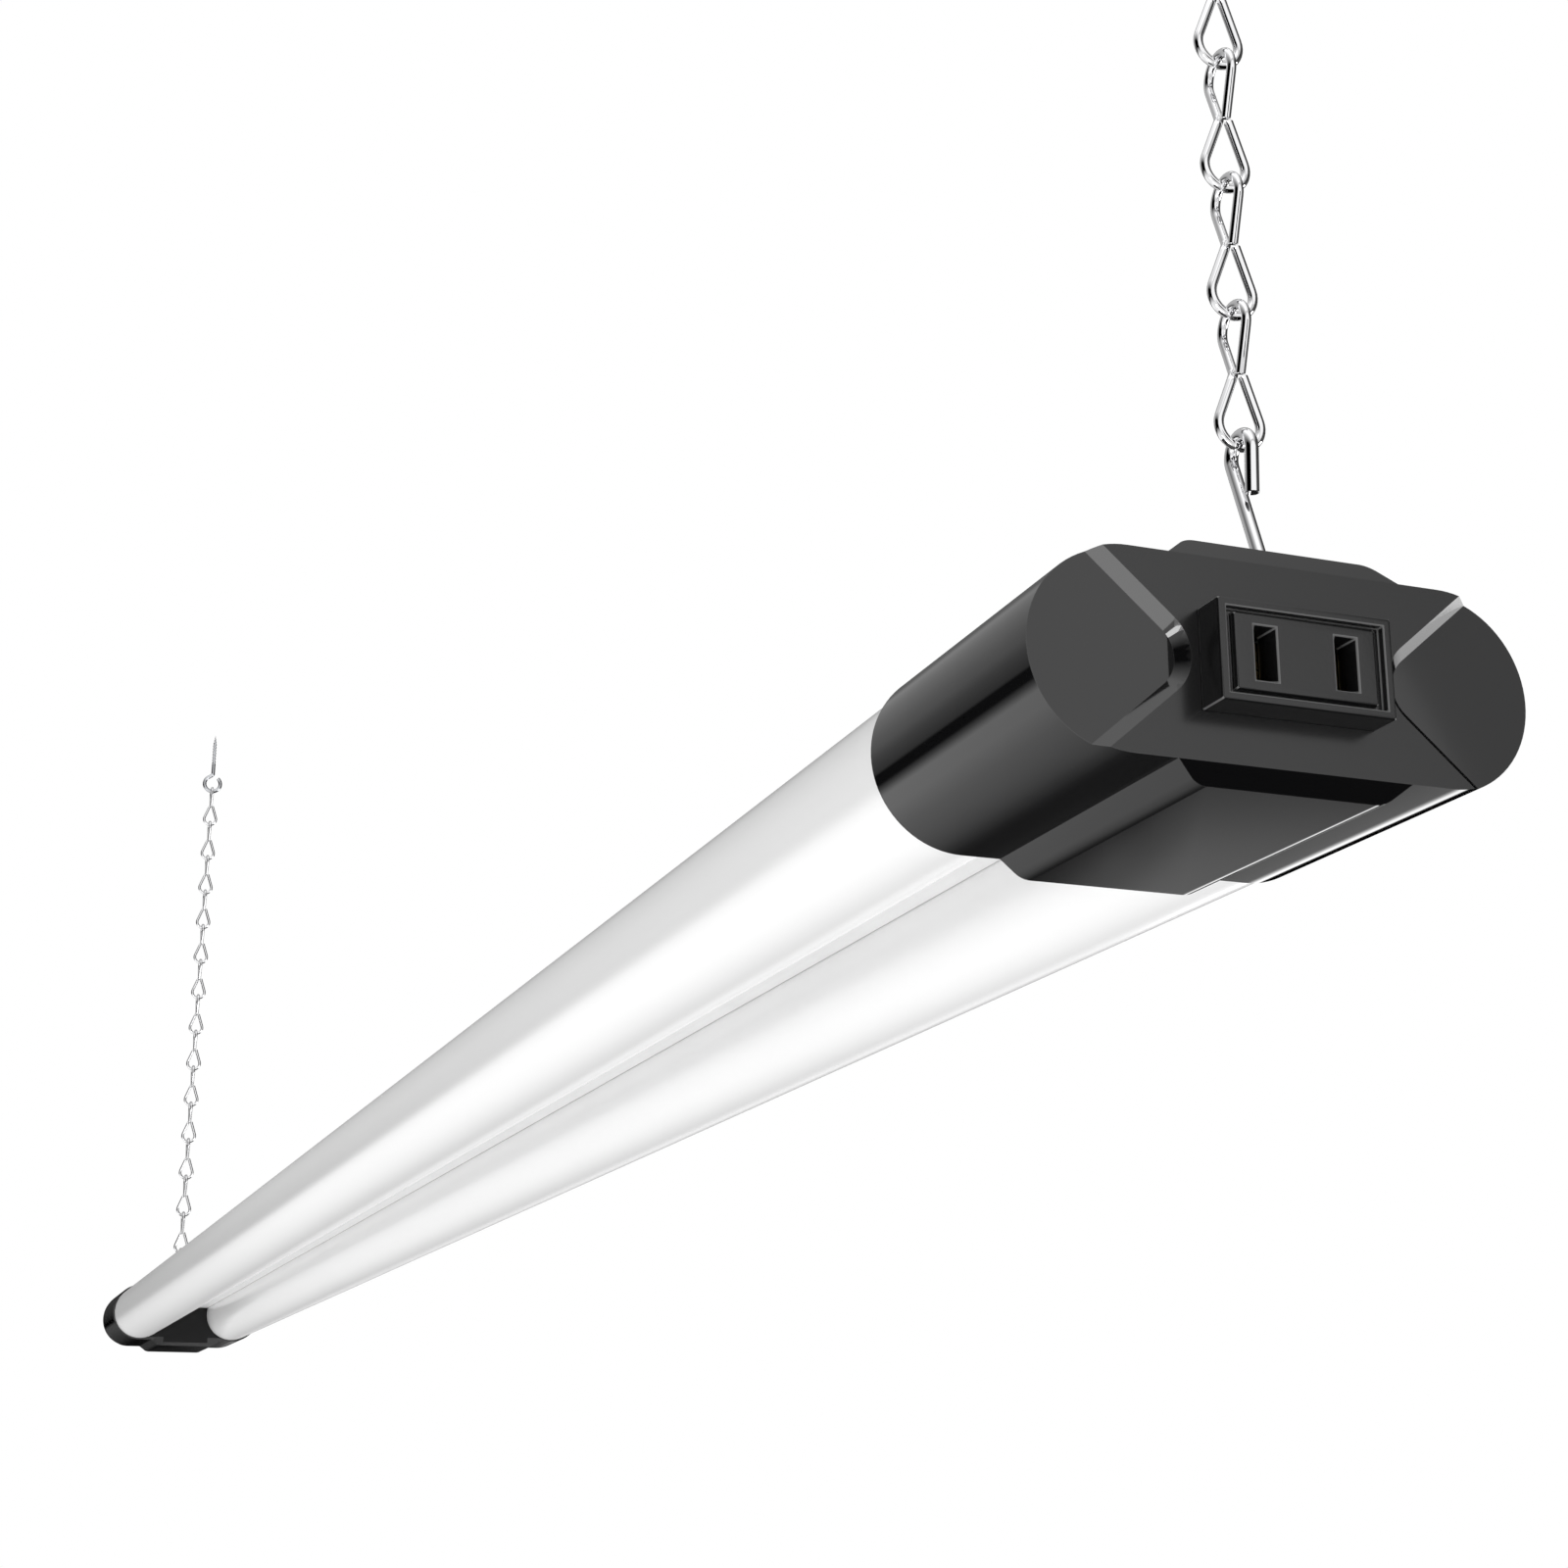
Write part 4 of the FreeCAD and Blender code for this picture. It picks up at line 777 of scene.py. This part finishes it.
class SHOPLIGHT_OT_tubes(bpy.types.Operator):
    """Draw the two milky tubes"""
    bl_idname = "shop_light.tubes"
    bl_label = "Tubes"
    bl_options = {"REGISTER", "UNDO"}

    def execute(self, context):
        """A tube's wall carried round its axis: the outside from end to end, a rounded lip, the
        inside back again, and the other lip."""
        s = context.scene.shop_light_sizes
        half, lip, quarter = s.tube_half, s.tube_lip, math.pi / 2
        reach, outer, inner = half - lip, s.tube_radius - lip, s.tube_radius - s.tube_wall + lip
        along = np.linspace(-half, half, TUBE_RINGS)[1:-1]
        outside = np.column_stack([along, np.full(len(along), s.tube_radius)])
        lips = [arc(centre, lip, start, start - quarter, LIP_STEPS) for centre, start in (
            ((reach, outer), quarter), ((reach, inner), 0.0),
            ((-reach, inner), -quarter), ((-reach, outer), 2 * quarter))]
        profile = np.vstack([outside, *lips])
        for name, side in (("left", -1.0), ("right", 1.0)):
            origin = (0.0, side * s.tube_offset, s.height)
            points, distance = turned(profile, origin, ALONG, TUBE_SIDES)
            mesh_piece(name + "_milky_tube", points, distance, True, "light", "milky_tube",
                       name + "_tube")
        return {"FINISHED"}


class SHOPLIGHT_OT_end_caps(bpy.types.Operator):
    """Round the edges of the moulded end caps, and finish their bulkheads"""
    bl_idname = "shop_light.end_caps"
    bl_label = "End caps"
    bl_options = {"REGISTER", "UNDO"}

    def execute(self, context):
        for end, _ in ENDS:
            softened(end + "_end_cap", end + "_moulded_cap",
                     context.scene.shop_light_sizes.cap_round, "cap_plastic")
        dress("cap_plastic", "near_bulkhead", "far_bulkhead", paint="bulkhead_plastic")
        return {"FINISHED"}


class SHOPLIGHT_OT_outlet(bpy.types.Operator):
    """Finish the outlet's frame, its insert and its contacts"""
    bl_idname = "shop_light.outlet"
    bl_label = "Outlet"
    bl_options = {"REGISTER", "UNDO"}

    def execute(self, context):
        # the bevelled edges of frame and insert get the paler finish, a painted highlight
        for node, name in (("outlet_frame", "outlet_surround"), ("outlet_insert", "outlet_body")):
            softened(node, name, context.scene.shop_light_sizes.outlet_round, "outlet_plastic",
                     painted_highlight="outlet_painted_highlight")
        dress("brass", "outlet_contacts")
        return {"FINISHED"}


class SHOPLIGHT_OT_cord_inlet(bpy.types.Operator):
    """Turn the fluted bushing that a cord enters by, and finish its nut"""
    bl_idname = "shop_light.cord_inlet"
    bl_label = "Cord inlet"
    bl_options = {"REGISTER", "UNDO"}

    def execute(self, context):
        """The bushing's profile goes from the barrel's inner end out along the barrel, round the
        collar's lip, and back in through the bore. Flutes take a cosine off the collar."""
        s = context.scene.shop_light_gland
        low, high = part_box("cord_gland")
        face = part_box("far_end_cap")[0].x
        top, back = face - low.x, face - high.x
        profile = np.vstack([
            [[back, s.barrel - s.mouth / 2], [back + s.mouth / 2, s.barrel], [-COLLAR_STEP, s.barrel]],
            [[0.0, s.collar], [top - s.lip - COLLAR_RUN, s.collar]],
            arc((top - s.lip, s.collar - s.lip), s.lip, math.pi / 2, 0.0, BEND_STEPS),
            arc((top - s.mouth, s.bore + s.mouth), s.mouth, 0.0, -math.pi / 2, MOUTH_STEPS),
            [[back + s.mouth / 2, s.bore], [back, s.bore + s.mouth / 2]]])

        def flute(rows, angle):
            share = np.clip((rows[:, 1:] - s.barrel) / (s.collar - s.barrel), 0.0, 1.0)
            share = share * (rows[:, :1] >= 0.0) * np.clip((top - rows[:, :1]) / s.lip, 0.0, 1.0)
            return share * s.flute * (0.5 - 0.5 * np.cos(s.flutes * angle))[None, :]

        origin = (face, (low.y + high.y) / 2, (low.z + high.z) / 2)
        points, distance = turned(profile, origin, (-1.0, 0.0, 0.0), FLUTE_SIDES * s.flutes, flute)
        mesh_piece("cord_bushing", points, distance, True, "light", "gland_rubber", "cord_gland")
        dress("gland_nylon", "gland_nut")
        return {"FINISHED"}


class SHOPLIGHT_OT_spine(bpy.types.Operator):
    """Paint the spine between the tubes"""
    bl_idname = "shop_light.spine"
    bl_label = "Spine"
    bl_options = {"REGISTER", "UNDO"}

    def execute(self, context):
        softened("housing_spine", "painted_spine", context.scene.shop_light_sizes.metal_round,
                 "white_housing")
        return {"FINISHED"}


class SHOPLIGHT_OT_light_strips(bpy.types.Operator):
    """Finish the heat sinks, the LED boards and their lamps"""
    bl_idname = "shop_light.light_strips"
    bl_label = "Light strips"
    bl_options = {"REGISTER", "UNDO"}

    def execute(self, context):
        dress("heat_sink", "left_heat_sink", "right_heat_sink")
        dress("white_board", "left_led_board", "right_led_board")
        dress("led", "left_leds", "right_leds")
        return {"FINISHED"}


class SHOPLIGHT_OT_driver(bpy.types.Operator):
    """Finish the driver board and its parts"""
    bl_idname = "shop_light.driver"
    bl_label = "Driver"
    bl_options = {"REGISTER", "UNDO"}

    def execute(self, context):
        dress("green_board", "driver_board")
        dress("ferrite", "driver_transformer")
        dress("capacitor_sleeve", "driver_capacitors")
        dress("copper_winding", "driver_choke")
        dress("component_black", "driver_transistors")
        dress("terminal_plastic", "terminal_block")
        return {"FINISHED"}


class SHOPLIGHT_OT_wiring(bpy.types.Operator):
    """Finish the wires inside the light"""
    bl_idname = "shop_light.wiring"
    bl_label = "Wiring"
    bl_options = {"REGISTER", "UNDO"}

    def execute(self, context):
        dress("wire_black", "line_wire")
        dress("wire_white", "neutral_wire")
        dress("wire_red", "strip_leads")
        return {"FINISHED"}


class SHOPLIGHT_OT_fasteners(bpy.types.Operator):
    """Finish the hangers' brackets and pins, and the caps' screws"""
    bl_idname = "shop_light.fasteners"
    bl_label = "Fasteners"
    bl_options = {"REGISTER", "UNDO"}

    def execute(self, context):
        dress("zinc_bracket", "hanger_brackets", "hanger_pins")
        dress("zinc_screw", "cap_screws")
        return {"FINISHED"}


# ---- stage ---------------------------------------------------------------------------------
CAMERA_PLACE = (0.894817, -0.180552, -0.445824)
CAMERA_AXES = (
    # right, up, back
    (0.346467, 0.938062, -0.000229),
    (0.266964, -0.098368, 0.958673),
    (0.899273, -0.332209, -0.284510),
)
CAMERA_LENS = 57.516
CAMERA_SENSOR = 36.0
CAMERA_RANGE = (0.01, 60.0)
LAMPS = (
    # name, place, width and height, power, seen in reflections, lights surfaces
    ("Key", (1.46, -0.60, -1.58), (0.60, 0.60), 2.0, True, True),
    ("Accent", (1.45, -1.02, -1.05), (0.24, 0.24), 1.5, True, True),
    ("Side", (0.78, 1.49, -0.56), (0.70, 0.70), 6.8, True, False),
    ("Strip", (-0.10, -0.86, -1.56), (2.60, 0.50), 8.0, False, True),
)
AMBIENT = 0.83
FLOOR_HEIGHT = -2.9
FLOOR_HALF = 30.0
SCREEN_RADIUS = 2.4
SCREEN_END_RADIUS = 0.024
SCREEN_ENDS = (-24.0, 3.55)
SCREEN_SIDES = 96
SCREEN_FADE = (-16.5, -12.5)
SCREEN_FAR_LEVEL = 0.1      # of its full level, past the fade
SCREEN_TURNS = ((-3.36, -3.22), (-0.9, -0.3), (2.6, 3.0))
SCREEN_BESIDE = (
    # angle round the light in degrees from +Y through +Z, level: what its two stretches share
    (55, 0.16), (67, 0.20), (79, 0.46), (116, 0.46), (141, 0.40), (153, 0.27), (170, 0.16),
    (173, 0.0), (184, 0.0), (190, 0.32), (198, 1.00), (216, 0.97), (241, 0.66), (266, 0.46))
SCREEN_LEVELS = (
    # beside the light, far along it
    ((0, 0.10), (3, 0.0), (25, 0.0), *SCREEN_BESIDE, (290, 0.24), (303, 0.12), (315, 0.05),
     (326, 0.02), (328.8, 0.05), (329.8, 0.17), (331, 0.19), (332, 0.22), (333, 0.30),
     (342, 0.8), (352, 1.0), (358, 0.3), (360, 0.10)),
    # beside its near end
    ((0, 0.0), (3, 0.0), (30, 0.0), *SCREEN_BESIDE, (290, 0.28), (303, 0.14), (315, 0.05),
     (327, 0.02), (329.3, 0.03), (330, 0.12), (331, 0.16), (332, 0.20), (333, 0.29),
     (338, 0.4), (342, 1.4), (346, 2.6), (352, 2.6), (355, 0.0), (360, 0.0)),
    # beyond its near end
    ((0, 0.1), (20, 0.05), (42, 0.05), (60, 0.50), (85, 1.2), (110, 1.2), (135, 0.4), (150, 0.0),
     (178, 0.0), (200, 0.8), (236, 1.0), (270, 0.6), (295, 0.0), (322, 0.0), (335, 0.5), (360, 0.1)),
    # past it
    ((0, 0.6), (120, 0.6), (240, 1.0), (360, 0.6)),
)
CARD_PLACE, CARD_SIDES, CARD_HEIGHTS = 3.2, (-0.20, 0.65), (-0.60, 0.20)


class SHOPLIGHT_OT_stage(bpy.types.Operator):
    """Set up the floor, the lamps, the reflecting screens, the background and the camera"""
    bl_idname = "shop_light.stage"
    bl_label = "Stage"
    bl_options = {"REGISTER", "UNDO"}

    def execute(self, context):
        self.camera(context)
        self.world(context)
        self.floor(context)
        for lamp in LAMPS:
            self.lamp(context, *lamp)
        self.screens(context)
        self.dark_card(context)
        context.scene.view_settings.view_transform = "Standard"
        return {"FINISHED"}

    def camera(self, context):
        """The camera's matrix from its place and its three axes."""
        data = bpy.data.cameras.new("Photo camera")
        data.sensor_width = CAMERA_SENSOR
        data.lens = CAMERA_LENS
        data.clip_start, data.clip_end = CAMERA_RANGE
        camera = bpy.data.objects.new("Photo camera", data)
        context.scene.collection.objects.link(camera)
        axes = Matrix(CAMERA_AXES).transposed()
        camera.matrix_world = Matrix.Translation(CAMERA_PLACE) @ axes.to_4x4()
        context.scene.camera = camera

    def world(self, context):
        """White where the camera or a reflection looks, and plain ambient light elsewhere."""
        world = bpy.data.worlds.new("Studio")
        world.use_nodes = True
        tree = world.node_tree
        tree.nodes.clear()
        ray = add(tree, "ShaderNodeLightPath").outputs
        seen = calculate(tree, "MAXIMUM", ray["Is Camera Ray"],
                         calculate(tree, "MAXIMUM", ray["Is Glossy Ray"], ray["Is Transmission Ray"]))
        level = span(tree, seen, 0.0, 1.0, AMBIENT, 1.0)
        light = add(tree, "ShaderNodeBackground", None, {"Color": WHITE, "Strength": level})
        output = add(tree, "ShaderNodeOutputWorld")
        tree.links.new(light.outputs[0], output.inputs["Surface"])
        context.scene.world = world

    def lamp(self, context, name, position, size, power, reflected, lighting):
        """An area lamp that faces the light: its near chain where reflections see the lamp, and
        otherwise the part of it straight across."""
        data = bpy.data.lights.new(name, "AREA")
        data.shape = "RECTANGLE"
        data.size, data.size_y = size
        data.energy = power
        lamp = bpy.data.objects.new(name, data)
        context.scene.collection.objects.link(lamp)
        lamp.location = position
        target = CHAIN_X if reflected else position[0]
        aim = Vector((target, 0.0, context.scene.shop_light_sizes.height)) - Vector(position)
        lamp.rotation_euler = aim.to_track_quat("-Z", "Y").to_euler()
        lamp.visible_camera = False
        lamp.visible_glossy = reflected
        lamp.visible_diffuse = lighting

    def floor(self, context):
        """A plain pale floor well below the light."""
        corners = [(FLOOR_HALF * x, FLOOR_HALF * y, FLOOR_HEIGHT)
                   for x, y in ((-1, -1), (1, -1), (1, 1), (-1, 1))]
        self.put_up(context, "Floor", corners, [[0, 1, 2, 3]], finish("floor"))

    def screens(self, context):
        """A long screen round the light, which only reflections see. Its points lie on a circle
        about the light's length. Its level changes with the angle round that length, with one set
        of levels for each stretch along it, and it darkens towards its far end."""
        height = context.scene.shop_light_sizes.height
        far, near = SCREEN_ENDS
        profile = np.array([[far, SCREEN_END_RADIUS], [far, SCREEN_RADIUS], [near, SCREEN_RADIUS]])
        points, _ = turned(profile, (0.0, 0.0, height), ALONG, SCREEN_SIDES)
        faces = grid_faces(len(profile), SCREEN_SIDES, False).tolist()
        made, tree, light = blank("Screen light", "ShaderNodeEmission")
        where = parts(tree, on_object(tree))
        up = calculate(tree, "SUBTRACT", where["Z"], height)
        turn = calculate(tree, "DIVIDE", calculate(tree, "ARCTAN2", up, where["Y"]), 2 * math.pi)
        turn = calculate(tree, "FRACT", turn)
        top = max(level for levels in SCREEN_LEVELS for _, level in levels)
        shade, *others = (self.ramp(tree, turn, levels, top) for levels in SCREEN_LEVELS)
        for (start, stop), other in zip(SCREEN_TURNS, others):
            shade = mix(tree, span(tree, where["X"], start, stop), shade, other)
        tree.links.new(shade, light["Color"])
        fade = span(tree, where["X"], *SCREEN_FADE, SCREEN_FAR_LEVEL * top, top)
        tree.links.new(fade, light["Strength"])
        made.cycles.emission_sampling = "NONE"
        self.put_up(context, "Screens", points.reshape(-1, 3).tolist(), faces, made, True)

    def ramp(self, tree, turn, levels, top):
        """A grey ramp over one turn, from angles in degrees and levels."""
        node = add(tree, "ShaderNodeValToRGB", None, {"Fac": turn})
        stops = node.color_ramp.elements
        for angle, _ in levels[1:-1]:
            stops.new(angle / 360.0)
        for stop, (_, level) in zip(stops, levels):
            stop.color = (level / top, level / top, level / top, 1.0)
        return node.outputs["Color"]

    def dark_card(self, context):
        """A black card across the light's length, which dulls reflections in the far end."""
        (left, right), (low, high) = CARD_SIDES, CARD_HEIGHTS
        corners = [(CARD_PLACE, y, z)
                   for y, z in ((left, low), (right, low), (right, high), (left, high))]
        self.put_up(context, "Dark card", corners, [[3, 2, 1, 0]], finish("card"), True)

    def put_up(self, context, name, points, faces, material, reflection_only=False):
        """Adds a piece of the stage, which only reflections may see."""
        mesh = bpy.data.meshes.new(name)
        mesh.from_pydata(points, [], faces)
        mesh.materials.append(material)
        piece = bpy.data.objects.new(name.replace(" ", "_"), mesh)
        context.scene.collection.objects.link(piece)
        if reflection_only:
            piece.visible_camera = False
            piece.visible_diffuse = False
            piece.visible_transmission = False
            piece.visible_volume_scatter = False
            piece.visible_shadow = False


OPERATORS = (SHOPLIGHT_OT_stage, SHOPLIGHT_OT_chains, SHOPLIGHT_OT_hangers,
             SHOPLIGHT_OT_ceiling_hooks, SHOPLIGHT_OT_tubes, SHOPLIGHT_OT_end_caps,
             SHOPLIGHT_OT_outlet, SHOPLIGHT_OT_cord_inlet, SHOPLIGHT_OT_spine,
             SHOPLIGHT_OT_light_strips, SHOPLIGHT_OT_driver, SHOPLIGHT_OT_wiring,
             SHOPLIGHT_OT_fasteners)
SETTINGS = (("shop_light_sizes", LightSizes), ("shop_light_chain", ChainSizes),
            ("shop_light_hanger", HangerSizes), ("shop_light_hook", HookSizes),
            ("shop_light_gland", GlandSizes), ("shop_light_colours", Colours))


class SHOPLIGHT_PT_panel(bpy.types.Panel):
    """Sizes, colours and pieces of the shop light"""
    bl_idname = "SHOPLIGHT_PT_panel"
    bl_label = "Shop Light"
    bl_space_type = "VIEW_3D"
    bl_region_type = "UI"
    bl_category = "Shop Light"

    def draw(self, context):
        for name, group in SETTINGS:
            box = self.layout.box()
            box.label(text=group.__doc__)
            for key in group.__annotations__:
                box.prop(getattr(context.scene, name), key)
        for operator in OPERATORS:
            self.layout.operator(operator.bl_idname)


CLASSES = (*(group for _, group in SETTINGS), *OPERATORS, SHOPLIGHT_PT_panel)


def register():
    """Registers every class and hangs the settings on the scene."""
    for group in CLASSES:
        bpy.utils.register_class(group)
    for name, group in SETTINGS:
        setattr(bpy.types.Scene, name, PointerProperty(type=group))


def unregister():
    """Takes the settings and the classes away again."""
    for name, _ in SETTINGS:
        delattr(bpy.types.Scene, name)
    for group in reversed(CLASSES):
        bpy.utils.unregister_class(group)


def main():
    """Builds every piece in order."""
    register()
    for operator in OPERATORS:
        getattr(bpy.ops.shop_light, operator.bl_idname.split(".")[1])()


if __name__ == "__main__":
    main()
